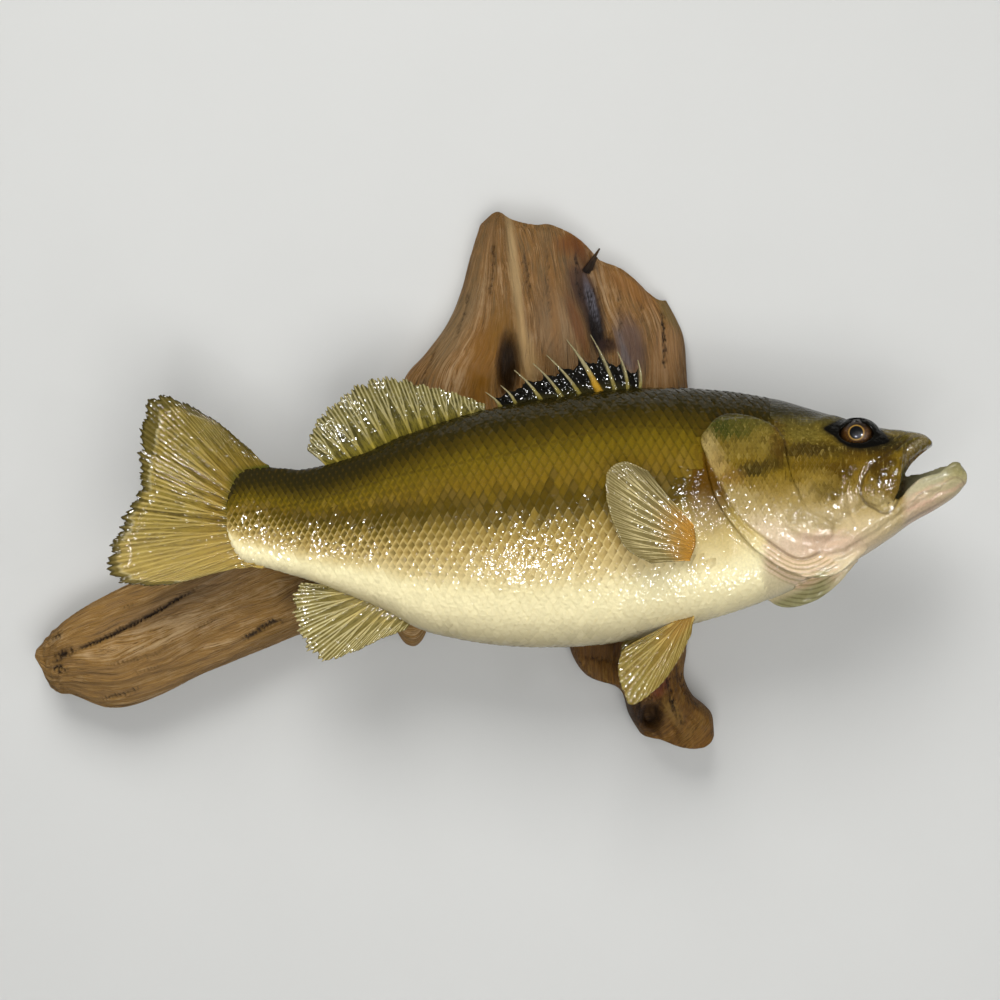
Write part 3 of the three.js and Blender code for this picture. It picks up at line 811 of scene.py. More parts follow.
HEAD_PATCHES = (
    Patch(99, 21, 15, 6, "2e390e", 0.85, -8), Patch(112, 23, 12, 6, "58521c", 0.5),
    Patch(87, 10, 6, 10, "a8935c", 0.8, 20), Patch(92, 0, 7, 8, "ab8f55", 0.7),
    Patch(104, 8, 10, 6, "7d6a2c", 0.6), Patch(117, -3, 17, 4.5, "33290a", 0.92, 10),
    Patch(127, 3, 5, 8, "4a3a0c", 0.6), Patch(101, -8, 9, 5, "8f6c2e", 0.6),
    Patch(129, 13, 4, 12, "54390c", 0.75, 6), Patch(120, 12, 8, 8, "7c6b2e", 0.5),
    Patch(147, 8, 17, 5, "33270a", 0.9, 4), Patch(143, 17, 12, 4, "6b5f26", 0.7),
    Patch(152, -2, 14, 4, "54400a", 0.7), Patch(141, -4, 5, 9, "6d5410", 0.6),
    Patch(153, -9, 11, 4.5, "8f7631", 0.7), Patch(146, -17, 8, 5, "a58f57", 0.5),
    Patch(159, -16, 9, 5, "5d4c1c", 0.75, -12), Patch(182, 10, 19, 5, "19150a", 0.92, 10),
    Patch(166, -4, 8, 6, "4a3405", 0.8), Patch(174, 3, 8, 7, "5b430a", 0.7),
    Patch(177, -8, 5, 8, "7d611a", 0.7), Patch(188, -2, 7, 11, "422d03", 0.88, -12),
    Patch(193, -12, 6, 6, "6e551a", 0.7), Patch(170, -22, 5, 5, "baa475", 0.8),
    Patch(186, -22, 10, 4.5, "b09c68", 0.8), Patch(196, 13, 9, 4, "2e280f", 0.75, 20),
    Patch(206, 15, 6, 4, "5d5424", 0.6), Patch(108, -20, 14, 6, "b5a06a", 0.6, -20),
    Patch(154, -33, 12, 5, "a79466", 0.7, -14), Patch(140, -30, 5, 6, "8f7c4c", 0.5),
    Patch(150, -47, 26, 7, "d2b298", 0.75, 6), Patch(128, -43, 16, 7, "e2cbac", 0.6, -25),
)


def trunk_colour(graph: Graph, x: Value, share: Value, blotch: Value) -> Socket:
    """Back, flank, broken dark band and belly, with painted shade under the belly and tail.

    Args:
        graph: where the nodes go.
        x: place along the fish, in millimetres.
        share: height as a share of the body's, 0 at the belly.
        blotch: noise that breaks up the band.

    Returns:
        A colour.
    """
    wave = share + (blotch - 0.5) * 0.09 + x.step(-60, -165) * 0.1 + x.step(55, 100) * 0.05
    # The darker stops at the very bottom of this ramp are painted shade under the belly.
    base = graph.ramp(
        wave, (0.0, "b3a680"), (0.07, "ddd0a4"), (0.14, "f8ebba"), (0.24, "fbefbd"), (0.32, "e3d097"),
        (0.40, "c2aa69"), (0.50, "97813d"), (0.58, "7f6a1c"), (0.68, "836b1c"), (0.78, "786613"),
        (0.86, "4f420a"), (0.93, "2f2908"), (1.0, "2b2710"))
    height = abs(share - (0.585 - x.step(-40, -170) * 0.03))
    band = (height * -14 + 1.45 + (blotch - 0.5) * 3.2).step(0.15, 0.95)
    band = band * x.step(-200, -150) * x.step(96, 70)
    # The same darker tone low down toward the tail: painted shade under the tail.
    base = graph.mix(share.step(0.13, 0.0) * x.step(-20, -120) * 0.6, base, "b3a680")
    return graph.mix(band * 0.66, base, "3d3108")


def head_colour(graph: Graph, x: Value, z: Value, share: Value, zone: Sequence[Value | float]) -> Socket:
    """The face, with its dark bars, pale throat and jaw, with painted sheen on the crown and painted shade in
    the folds and gap of the jaw.

    Args:
        graph: where the nodes go.
        x: place along the fish, in millimetres.
        z: height, in millimetres.
        share: height as a share of the body's, 0 at the belly.
        zone: shares of gill cover, mouth lining and lower jaw.

    Returns:
        A colour.
    """
    y, crown = graph.crown(share)
    where = graph.vector(x * 0.1, crown * 0.1, z * 0.1)
    warp = graph.noise(where, 1.3, 4.0, 0.6)
    u = x + (warp - 0.5) * 16
    w = z + (graph.noise(where, 1.9, 5.0, 0.7) - 0.5) * 13
    # The greyer stops at the very top of this ramp are painted sheen on the crown.
    face = graph.ramp(
        (w + 65) / 115, (0.0, "d8c9a0"), (0.12, "d9c5a0"), (0.20, "d3bd94"), (0.29, "c6b184"),
        (0.36, "a48d54"), (0.43, "8d7434"), (0.51, "7d6418"), (0.62, "735c16"), (0.72, "665518"),
        (0.79, "544b20"), (0.84, "2d2914"), (0.9, "2a271a"), (1.0, "35322a"))
    for patch in HEAD_PATCHES:
        face = graph.mix(patch.mask(graph, u, w), face, patch.colour)
    speck = graph.cells(where, 7.0).step(0.36, 0.1) * graph.noise(where, 2.0, 2.0).step(0.4, 0.65)
    face = graph.mix(speck * z.step(-38, -12) * 0.6, face, "2a2105")
    worm = graph.noise(graph.vector(x * 0.5, crown * 0.3, z * 0.14), 1.1, 4.0, 0.7)
    face = graph.mix(worm.step(0.5, 0.36) * z.step(-30, -5) * 0.5, face, "3a2c08")
    face = graph.mix(worm.step(0.54, 0.68) * z.step(-30, -5) * z.step(34, 24) * 0.35, face, "b39c50")
    # Grey streaks over the top of the head: painted sheen.
    streak = graph.noise(graph.vector(x * 0.06, crown * 0.4, z * 0.5), 1.2, 4.0, 0.7).step(0.5, 0.66)
    face = graph.mix(streak * z.step(22, 29) * 0.5, face, "6f6c5e")
    jaw = graph.ramp(
        (w + 65) / 70, (0.0, "cdbf92"), (0.35, "d6c09f"), (0.62, "cdb291"), (0.78, "c3b58c"),
        (0.88, "a39a6c"), (1.0, "7d7648"))
    pink = (z * 0.9 - x * 0.5 + (warp - 0.5) * 6).sine().step(0.1, 0.9)
    jaw = graph.mix(pink * 0.45 * z.step(-4, -12), jaw, "c9a089")
    lid, lip, keel = graph.stored("lid")
    jaw = graph.mix(lip.step(9, 5) * x.step(197, 203) * x.step(229, 220) * 0.55, jaw, "a9a688")
    # A darker line in the groove below the near lip: painted shade.
    jaw = graph.mix(abs(lip - 9.5 + (warp - 0.5) * 3).step(1.2, 0.3) * x.step(199, 206) * 0.5, jaw, "8a7a5c")
    jaw = graph.mix(x.step(212, 226) * (z - x * 0.6 + 132).step(-6, 2) * 0.75, jaw, "66603f")
    # A dark line along the jaw's underside: painted shadow of the gap between the two halves of the jaw.
    jaw = graph.mix(keel.step(2.6, 1.0) * x.step(176, 186) * abs(y).step(4, 11) * 0.75, jaw, "4a3324")
    face = graph.mix(zone[2], face, jaw)
    face = graph.mix((lid + (warp - 0.5) * 4).step(-3.4, 0.2) * 0.75, face, "1d190a")
    face = graph.mix((lid + (warp - 0.5) * 1.5).step(-0.9, 0.4) * 0.97, face, "060503")
    rib = (x * 2.1 + z * 0.6).sine().step(-0.2, 0.8)
    lining = graph.mix(rib * 0.6, "8d7450", "2e2014")
    lining = graph.mix((z - x * 0.1 + 16).step(1, -4), lining, "7c7a52")
    return graph.mix(zone[1], face, lining)


# ---------------------------------------------------------------- skin

EYE_X, EYE_Y, EYE_Z, EYE_RADIUS = 173.3, 12.6, 18.8, 9.6
EYELID = Path(
    [(155.5, 21.3), (160.5, 25), (164.7, 27.8), (173.2, 30.5), (181.7, 27), (188, 19.5), (191, 14),
     (185, 11.2), (177.5, 9.6), (170, 10.2), (165.5, 12.6), (160, 17.5)], closed=True)
COVER = Path(
    [(80.8, 16.5), (85.5, 22.6), (90.5, 27.8), (98, 30.6), (108, 29.8), (118, 26.6), (127, 21.5), (132, 11),
     (134.3, -1.4), (138.5, -12.5), (147, -24), (160, -34), (158, -45), (143, -54), (124, -45), (105, -30),
     (92.5, -10), (84.3, 5)], closed=True)
MAXILLA = Path(
    [(207, 17.2), (200.5, 11.5), (198.6, 2), (197.6, -8), (195.6, -17), (193, -23), (189.5, -26),
     (184, -23.4), (179.6, -20.6), (177.4, -16), (179.4, -8), (184, -1.5), (190, 4), (197, 10)], closed=True)
PALATE = Shape(
    top=Spline((138, -30), (150, -8), (170, 4), (195, 9), (206, 12.6), (211.5, 13.4)),
    bottom=Spline((138, -92), (211.5, -92)),
    half=Spline((138, 7), (155, 15), (172, 20), (190, 17.8), (200, 13.8), (207, 9), (211.5, 4)),
    girth=level(0.85),
    square=level(0.2),
)
NEAR_RIM = Spline((188, -27), (195.6, -20), (199, -17), (201.5, -13.5), (205, -10), (208, -7.2),
                  (213.4, -5.0), (219, -3.2), (223, 0.5), (227, 3.6), (231, 3.0), (CHIN_X, -2))
FAR_RIM = Spline((192, -7), (196, -3.4), (202, -1.2), (211.5, 0.4), (220, 3.2), (227, 4.3), (230.2, 3.6),
                 (232.5, 0))
JAW_FLOOR, JAW_WALL = 6.0, 3.6
TROUGH = Shape(
    top=Spline((138, 40), (229, 40)),
    bottom=Spline(*zip(JAW.bottom.x, JAW.bottom.y + JAW_FLOOR)),
    half=Spline(*zip(JAW.half.x, JAW.half.y - JAW_WALL)),
    girth=level(0.4),
    square=level(0.6),
)

ISTHMUS = Shape(
    top=Spline((128, -56), (140, -54), (152, -51), (165, -47), (172, -44)),
    bottom=Spline((128, -70), (140, -66), (152, -61.2), (165, -55.6), (172, -51.6)),
    half=Spline((128, 14), (140, 17), (152, 20.5), (165, 20), (172, 17)),
    girth=level(0.45),
    square=level(0.3),
)


@dataclass(frozen=True)
class Crease:
    """A fold, or with a height below 0 a groove or crack, along a line seen from the side."""

    line: Path
    height: float
    width: float

    def lift(self, x: Array, z: Array) -> Array:
        """How far it raises the surface at (x, z)."""
        return self.height * bell(self.line.distance(x, z), self.width)


def crease(height: float, width: float, *points: tuple[float, float]) -> Crease:
    """A crease of that height and width along (x, z) points."""
    return Crease(Path(points, steps=6), height, width)


CREASES = (
    crease(0.8, 1.5, (129, 26), (131, 16), (133, 5), (135, -6), (138, -14), (142, -20)),
    crease(-0.7, 1.7, (125.5, 26), (127.5, 15), (129.5, 4), (132, -7), (135, -15)),
    crease(-1.3, 1.5, (142, -19), (147, -25), (155, -30), (163, -34)),
    crease(0.8, 1.6, (126, -20), (132, -32), (142, -39), (154, -41), (168, -38), (180, -31)),
    crease(-0.6, 1.8, (124, -26), (130, -37), (141, -43.5), (154, -45.5), (170, -42)),
    crease(-1.1, 1.6, (132, -54), (144, -55.5), (154, -54), (166, -51), (176, -45)),
    crease(0.7, 1.6, (140, -58.5), (152, -58.5), (164, -56), (172, -52)),
    crease(-0.9, 1.7, (172, -4), (169.5, -16), (170.5, -26), (174, -34)),
    crease(0.7, 2.2, (165, 2), (165, -12), (166, -24), (170, -34)),
    crease(0.6, 1.6, (172, -41), (186, -31), (200, -21), (215, -12), (228, -7)),
    crease(-0.8, 1.4, (170, -48), (184, -39), (198, -28), (214, -18), (228, -11)),
    crease(-0.6, 1.3, (186, -24), (200, -14), (215, -8), (227, -4)),
    crease(1.1, 2.6, (152, 26), (163, 30.5), (175, 32), (186, 28.5), (197, 23.5)),
    crease(-0.8, 1.5, (189, 7), (197, 13), (206, 19)), crease(-1.3, 1.2, (192.5, 24.8), (193.5, 24.8)),
    crease(-1.1, 1.1, (188, 26), (189, 26)),
)


def folded(points: Array) -> tuple[Array, Array, Array]:
    """x, distance from the fish's middle plane, and z of points."""
    x, y, z = points.T
    return x, np.abs(y), z


@dataclass(frozen=True)
class Skin:
    """The one skin of head, jaws, gill covers, trunk and tail."""

    coat_depth: float = 0.7
    tuck: float = 0.6
    voxel: float = 0.95
    trunk_end: float = 118.0
    skull_start: float = 88.0
    jaw_start: float = 152.0
    cover_span: tuple[float, float] = (69.0, 175.0)
    cover_thickness: float = 3.3
    fringe_thickness: float = 3.6
    eye_rim: float = 12.1
    eye_rim_scale: tuple[float, float, float] = (1.12, 0.91, 0.86)
    window: tuple[float, float] = (8.8, 10.5)
    window_reach: float = 22.0
    window_height: float = 0.66
    lips: tuple[float, float] = (192.0, 231.0)
    relax: int = 9

    def trunk_depth(self, x: Array) -> Array:
        """How far the trunk is moved outward at x: it lies under the scales, and dips at the nape."""
        return -(self.coat_depth + self.tuck * smooth(97, 106, x))

    def skull_depth(self, x: Array) -> Array:
        """The same for the skull, which comes up to full size where the scales end."""
        return -(self.coat_depth * (1 - smooth(116, 130, x)) + self.tuck * (1 - smooth(95, 104, x)))

    def cover_depth(self, x: Array) -> Array:
        """How far a gill cover stands off the body at x."""
        return self.cover_thickness - 1.9 * smooth(120, 165, x)

    def trunk(self) -> Mesh:
        """The body from the tail fin to just inside the head."""
        return BODY.loft(TAIL_END_X + self.coat_depth, self.trunk_end, 130, 80, self.trunk_depth)

    def skull(self) -> Mesh:
        """The head with its palate cut out and sockets for the eyes."""
        skull = BODY.loft(self.skull_start, SNOUT_X, 140, 160, self.skull_depth)
        skull = combine(skull, "DIFFERENCE", PALATE.loft(*PALATE.ends, 50, 64))
        for side in Side:
            rim = ball((EYE_X, side.value * (EYE_Y - 0.8), EYE_Z), self.eye_rim, self.eye_rim_scale)
            skull = combine(skull, "UNION", rim)
        for side in Side:
            y = side.value * EYE_Y
            window = rod((EYE_X, y, 0), (EYE_X, y + side.value * self.window_reach, 0), *self.window)
            move(window, coordinates(window) * (1, 1, self.window_height) + (0, 0, EYE_Z))
            skull = combine(skull, "DIFFERENCE", ball((EYE_X, y, EYE_Z), EYE_RADIUS + 0.1), window)
        return skull

    def lower_jaw(self) -> Mesh:
        """The trough of the lower jaw, whose near rim dips to the corner, with the tongue in it."""
        jaw = JAW.loft(self.jaw_start, CHIN_X, 80, 96)
        jaw = combine(jaw, "DIFFERENCE", TROUGH.loft(*TROUGH.ends, 60, 64))
        points = coordinates(jaw)
        x, y, z = points.T
        limit = NEAR_RIM(x) + (JAW.top(x) - NEAR_RIM(x)) * smooth(-6, 0, y)
        low = np.where(x > 190, np.minimum(z, limit), z)
        wanted = np.maximum(FAR_RIM(x) - 1.2 - JAW.top(x), 0)
        rise = smooth(0, 9, y) * smooth(190, 200, x) * smooth(-14, 2, z - JAW.top(x))
        points[:, 2] = low + wanted * rise
        return joined(move(jaw, points), ball((188, 0, -24), 9, (2.6, 1.05, 0.55)),
                      self.lip(Side.RIGHT, NEAR_RIM, 2.0, 2.2), self.lip(Side.LEFT, FAR_RIM, 1.6, 6.0))

    def lip(self, side: Side, rim: Spline, radius: float, hang: float) -> Mesh:
        """A rounded lip along one rim of the lower jaw.

        Args:
            side: which rim.
            rim: the height of its top at x.
            radius: half its thickness.
            hang: half its height at the corner of the mouth.

        Returns:
            The lip.
        """
        def place(u: Array, v: Array) -> Array:
            """The lip's surface, u round it and v along it."""
            x = self.lips[0] + (self.lips[1] - self.lips[0]) * v
            y = side.value * (JAW.half(x) - radius)
            turn, half = 2 * math.pi * u, hang + (2.0 - hang) * v
            return stacked(x, y + radius * np.cos(turn), rim(x) - half + half * np.sin(turn))

        return closed(gridded(20, 50, place))

    def cover(self, side: Side) -> Mesh:
        """A gill cover: the side of the body inside its outline, raised."""
        shell = BODY.loft(*self.cover_span, 110, 160, self.cover_depth)
        near, far = sorted((side.value * 1.0, side.value * 60.0))
        return combine(shell, "INTERSECT", prism(COVER, near, far))

    def fringe(self, side: Side) -> Mesh:
        """The ribbed membrane along the gill cover's lower edge."""
        drop = 12 if side is Side.LEFT else 0
        edge = [(86, 2), (97, -17), (112, -34), (132, -46 - drop * 0.6), (154, -48 - drop * 0.5), (172, -41)]
        inner = Path([
            (x, side.value * (float(BODY.flank(np.array(x), np.array(z))) + 0.6), z) for x, z in edge])
        outer = Path([
            (83, side.value * 38.5, 5), (90, side.value * 38.5, -19), (106, side.value * 35, -41 - drop),
            (128, side.value * 28, -59 - drop * 1.6), (146, side.value * 23, -65 - drop * 0.95),
            (162, side.value * 18, -63 - drop * 0.2), (172, side.value * 15, -55 + drop * 0.25),
            (179, side.value * 13, -47 + drop * 0.3)])

        def place(u: Array, v: Array) -> Array:
            """The membrane, u along it and v from its root to its edge."""
            points = inner(u) * (1 - v)[:, None] + outer(u) * v[:, None]
            fold = np.abs(np.sin(v * 3.6 * math.pi)) * 0.6 * smooth(0, 0.1, u) * smooth(1, 0.9, u)
            points[:, 1] += side.value * (fold + 1.2 * v * (1 - v) - 0.9)
            return points

        return modified(gridded(110, 18, place), "SOLIDIFY", thickness=self.fringe_thickness, offset=0.0)

    def inner_mouth(self, points: Array) -> Array:
        """1 on the lining of the mouth, 0 on the outer skin."""
        x, y, z = folded(points)
        palate = smooth(1.4, 0.4, y - PALATE.flank(x, z)) * smooth(1.8, 0.8, z - PALATE.top(x))
        palate = palate * smooth(136, 137.5, x) * smooth(213, 211.5, x) * smooth(3.5, 5, z - JAW.bottom(x))
        palate = palate * smooth(1.4, 2.4, BODY.flank(x, z) - y)
        trough = smooth(1.2, 0.3, y - TROUGH.flank(x, z)) * smooth(-1.4, -0.4, z - TROUGH.bottom(x))
        trough = trough * smooth(150, 152, x) * smooth(230.5, 229.5, x)
        return np.maximum(palate, trough * smooth(1.6, 2.6, JAW.flank(x, z) - y))

    def on_jaw(self, points: Array) -> Array:
        """1 on the lower jaw, 0 elsewhere."""
        x, y, z = folded(points)
        under = smooth(1.2, 2.8, BODY.flank(x, z) - y)
        clear = smooth(197, 203, x)
        near = smooth(2.2, 1.0, y - JAW.half(x)) * smooth(2.5, 1.2, z - JAW.top(x))
        return np.maximum(under, clear) * near * smooth(160, 168, x) * smooth(-3, -1, z - JAW.bottom(x))

    def on_cover(self, points: Array) -> Array:
        """1 on the gill covers, 0 elsewhere."""
        x, y, z = folded(points)
        raised = smooth(0.6, 1.4, y - BODY.flank(x, z))
        return smooth(-0.8, 0.8, COVER.inside(x, z)) * np.maximum(raised, smooth(150, 160, x))

    def sculpt(self, head: Mesh) -> Mesh:
        """Raises the upper jaw's plate and works in the folds of the face."""
        points = coordinates(head)
        facing = normals(head)
        x, z = points[:, 0], points[:, 2]
        outer = (1 - self.inner_mouth(points)) * smooth(0.1, 0.4, np.abs(facing[:, 1]))
        outer = outer * smooth(11.0, 14.0, np.hypot(x - EYE_X, (z - EYE_Z) * 1.2))
        jaw = self.on_jaw(points)
        plate = MAXILLA.inside(x, z)
        lift = (1.3 * smooth(-0.7, 0.9, plate) - 0.7 * bell(plate + 1.9, 1.3)) * (1 - jaw)
        for fold in CREASES:
            lift = lift + fold.lift(x, z)
        edge = COVER.inside(x, z)
        below = smooth(86, 96, x) * smooth(168, 160, x) * smooth(2, -2, z + 12 + (x - 92) * 0.62)
        lift = lift - 1.2 * bell(edge + 1.4, 1.3) * below
        lift = lift + 0.4 * np.sin((edge + 1.2) * 2.4) * smooth(-2, -3, edge) * smooth(-14, -11, edge) * below
        lift = lift + 0.12 * ripple(x / 7, z / 7, 3) * smooth(130, 140, x)
        ribs = 0.5 * np.sin(x * 2.1 + z * 0.6) * self.inner_mouth(points) * smooth(6, 9, z - JAW.top(x))
        return move(head, points + facing * (lift * outer + ribs)[:, None])

    def build(self) -> Mesh:
        """The skin on the straight fish, in millimetres."""
        parts = [self.skull(), self.lower_jaw(), ISTHMUS.loft(*ISTHMUS.ends, 40, 64)]
        for side in Side:
            parts += [self.cover(side), self.fringe(side)]
        head = self.sculpt(remeshed(joined(*parts), self.voxel, self.relax))
        whole = combine(head, "UNION", self.trunk())
        LOG.info("skin: %d head, %d whole faces", len(head.polygons), len(whole.polygons))
        return whole

    def finish(self) -> Material:
        """Wet, mottled skin in the animal's markings."""
        graph = Graph("wet_skin")
        x, share, z = graph.stored("lie")
        zone = graph.stored("zone")
        _, crown = graph.crown(share)
        where = graph.vector(x * 0.1, zone[0] * 0.3 + crown * 0.1, z * 0.1)
        blotch = graph.noise(where, 0.9, 5.0, 0.65)
        open_skin, edge, plate = graph.stored("coatless")
        trunk = trunk_colour(graph, x, share, blotch)
        trunk = graph.mix((1 - open_skin) * share.step(0.25, 0.45) * 0.4, trunk, "4a3c1c")
        shoulder = ((x - 86) / 15) ** 2.0 + ((z + 14) / 25) ** 2.0
        flesh = graph.mix((z + (blotch - 0.5) * 20).step(-44, -10), "b7a16c", "573806")
        trunk = graph.mix((shoulder + (blotch - 0.5) * 1.8).step(1.6, 0.3) * 0.9, trunk, flesh)
        folds = (shoulder.root() * 11 + (blotch - 0.5) * 4).sine() * shoulder.step(1.8, 1.0)
        face = head_colour(graph, x, z, share, zone)
        below = x.step(86, 96) * x.step(168, 160) * (z + 12 + (x - 92) * 0.62).step(2, -2)
        ribs = ((edge + (blotch - 0.5) * 1.5 + 1.2) * 2.4).sine().step(0.2, -0.9)
        ribs = ribs * edge.step(-1, -2.5) * below
        fringe = graph.mix((z + (blotch - 0.5) * 20).step(-38, -50), "e2cf90", "e0c4a2")
        fringe = graph.mix(ribs * 0.65, fringe, "9a8450")
        face = graph.mix(edge.step(0, -2) * edge.step(-17, -13) * below * 0.85, face, fringe)
        throat = x.step(164, 152) * share.step(0.02, -0.03)
        face = graph.mix(throat * 0.85, face, graph.mix(ribs, "a3a06f", "7d7a4c"))
        rim = abs(edge + 0.8).step(1.3, 0.3) * below
        face = graph.mix(rim * 0.55, face, "6a5232")
        # A dark line in the groove round the upper jaw's plate: painted shade.
        groove = abs(plate + 1.6).step(1.3, 0.2) * (1 - zone[2])
        face = graph.mix(groove * x.step(170, 176) * 0.6, face, "3a2a0c")
        ahead = zone[0].most(zone[2]).most(x.step(116, 124))
        colour = graph.mix(ahead, trunk, face)
        fine = graph.noise(where, 7.0, 5.0, 0.6)
        colour = graph.mix((fine - 0.35) * 0.5, colour, "241c08", "MULTIPLY")
        wrinkle = graph.noise(graph.vector(x * 0.25, share + crown * 0.1, z * 0.1), 5.0, 4.0, 0.6)
        pores = graph.cells(where, 11.0).step(0.1, 0.45)
        lump = graph.noise(where, 3.0, 2.0) * z.step(-45, -25) * z.step(12, -2)
        lip = plate.step(-0.6, -1.6) * plate.step(-6.5, -5) * z.step(-16, -10)
        lip = lip * (x - z * 0.25).step(196.5, 200)
        colour = graph.mix(lip * (1 - zone[2]) * (fine.step(0.45, 0.6) * 0.4 + 0.12), colour, "a3977c")
        wave = graph.noise(graph.vector(x * 0.25, crown * 0.25, z * 0.5), 1.6, 3.0) * z.step(20, 30)
        height = wrinkle * 0.16 + fine * 0.06 + pores * 0.05 + folds * 0.45 + lump * 0.7 + wave * 0.8
        height = height + graph.ripples() * (z.step(-52, -34) * 0.65 + 0.25)
        return graph.wet(colour, fine, height, 0.0007, 0.8)


# ---------------------------------------------------------------- scales


class Flank:
    """The side of the body unrolled: x along it, and arc length round it from belly to back."""

    START, END, SECTIONS = -196, 140, 225
    SAMPLES, STEPS = 181, 101

    def __init__(self) -> None:
        """Measures the arcs of many sections."""
        self.x = np.linspace(self.START, self.END, self.SECTIONS)
        lift = np.linspace(-math.pi / 2, math.pi / 2, self.SAMPLES)
        share = np.linspace(0, 1, self.STEPS)
        self.angles, totals, middles = [], [], []
        for x in self.x:
            ring = BODY.point(np.full(lift.shape, x), math.pi - lift)
            arc = np.concatenate([[0], np.cumsum(np.linalg.norm(np.diff(ring, axis=0), axis=1))])
            self.angles.append(np.interp(share * arc[-1], arc, lift))
            totals.append(arc[-1])
            middles.append(np.interp(float(LATERAL_LINE(x)), ring[:, 2], arc))
        self.angles = np.array(self.angles)
        self.total, self.middle = np.array(totals), np.array(middles)

    def reach(self, x: Array) -> Array:
        """Arc from belly to back at x."""
        return np.interp(x, self.x, self.total)

    def row(self, x: Array, row: Array) -> Array:
        """Arc at which a row of scales runs, counted from the lateral line."""
        return np.interp(x, self.x, self.middle) + row * ROW_PITCH(x)

    def angle(self, x: Array, arc: Array) -> Array:
        """The lift of the section's angle at an arc, which may run on over the back or belly."""
        share = arc / self.reach(x)
        over, under = share > 1, share < 0
        inside = np.where(over, 2 - share, np.abs(share))
        i = np.clip((x - self.x[0]) / (self.x[1] - self.x[0]), 0, len(self.x) - 1.001)
        j = np.clip(inside * (self.STEPS - 1), 0, self.STEPS - 1.001)
        i0, j0 = i.astype(int), j.astype(int)
        fi, fj = i - i0, j - j0
        a = self.angles
        found = ((a[i0, j0] * (1 - fj) + a[i0, j0 + 1] * fj) * (1 - fi)
                 + (a[i0 + 1, j0] * (1 - fj) + a[i0 + 1, j0 + 1] * fj) * fi)
        return np.where(over, math.pi - found, np.where(under, -math.pi - found, found))

    def point(self, x: Array, arc: Array, height: Array) -> Array:
        """Points of the right side at x and arc, raised by height."""
        lift = math.pi - self.angle(x, arc)
        here = BODY.point(x, lift)
        along = BODY.point(x + 0.4, lift) - BODY.point(x - 0.4, lift)
        around = BODY.point(x, lift + 0.02) - BODY.point(x, lift - 0.02)
        out = np.cross(along, around)
        out = out / np.linalg.norm(out, axis=-1, keepdims=True)
        return here - out * height[..., None]


LATERAL_LINE = Spline((-196, -27), (-150, -19), (-100, -5), (-55, 4.6), (-35, 8.1), (-1, 17), (22, 22.4),
                      (45, 24.7), (83, 22), (140, 20))
COLUMN_PITCH = Spline((-196, 3.3), (-120, 4.1), (-50, 5.2), (20, 5.6), (70, 5.3), (130, 4.2))
ROW_PITCH = Spline((-196, 3.0), (-120, 3.7), (-50, 4.8), (20, 5.2), (80, 4.9), (130, 4.0))
FRINGE_EDGE = Path([(84, 4), (90, -19), (105, -40), (128, -59), (150, -67), (168, -60), (176, -50),
                    (160, -34), (130, -30), (104, -10), (92, 6)], closed=True)
CHEEK = Path([(137, 15), (148, 12), (160, 5), (164, -8), (160, -22), (150, -22), (142, -14), (138, -2)],
             closed=True)
COAT_START, COAT_END, COAT_ROWS = -193.0, 134, range(-30, 20)
USUAL_PITCH = 5.6
LATERAL_MARK = 10
SCALE_SEEDS = {Side.RIGHT: 11, Side.LEFT: 12}
FACE_SEEDS = {Side.RIGHT: 15, Side.LEFT: 16}
BAKE_PATCH, BAKE_MARGIN = 0.003, 0.02


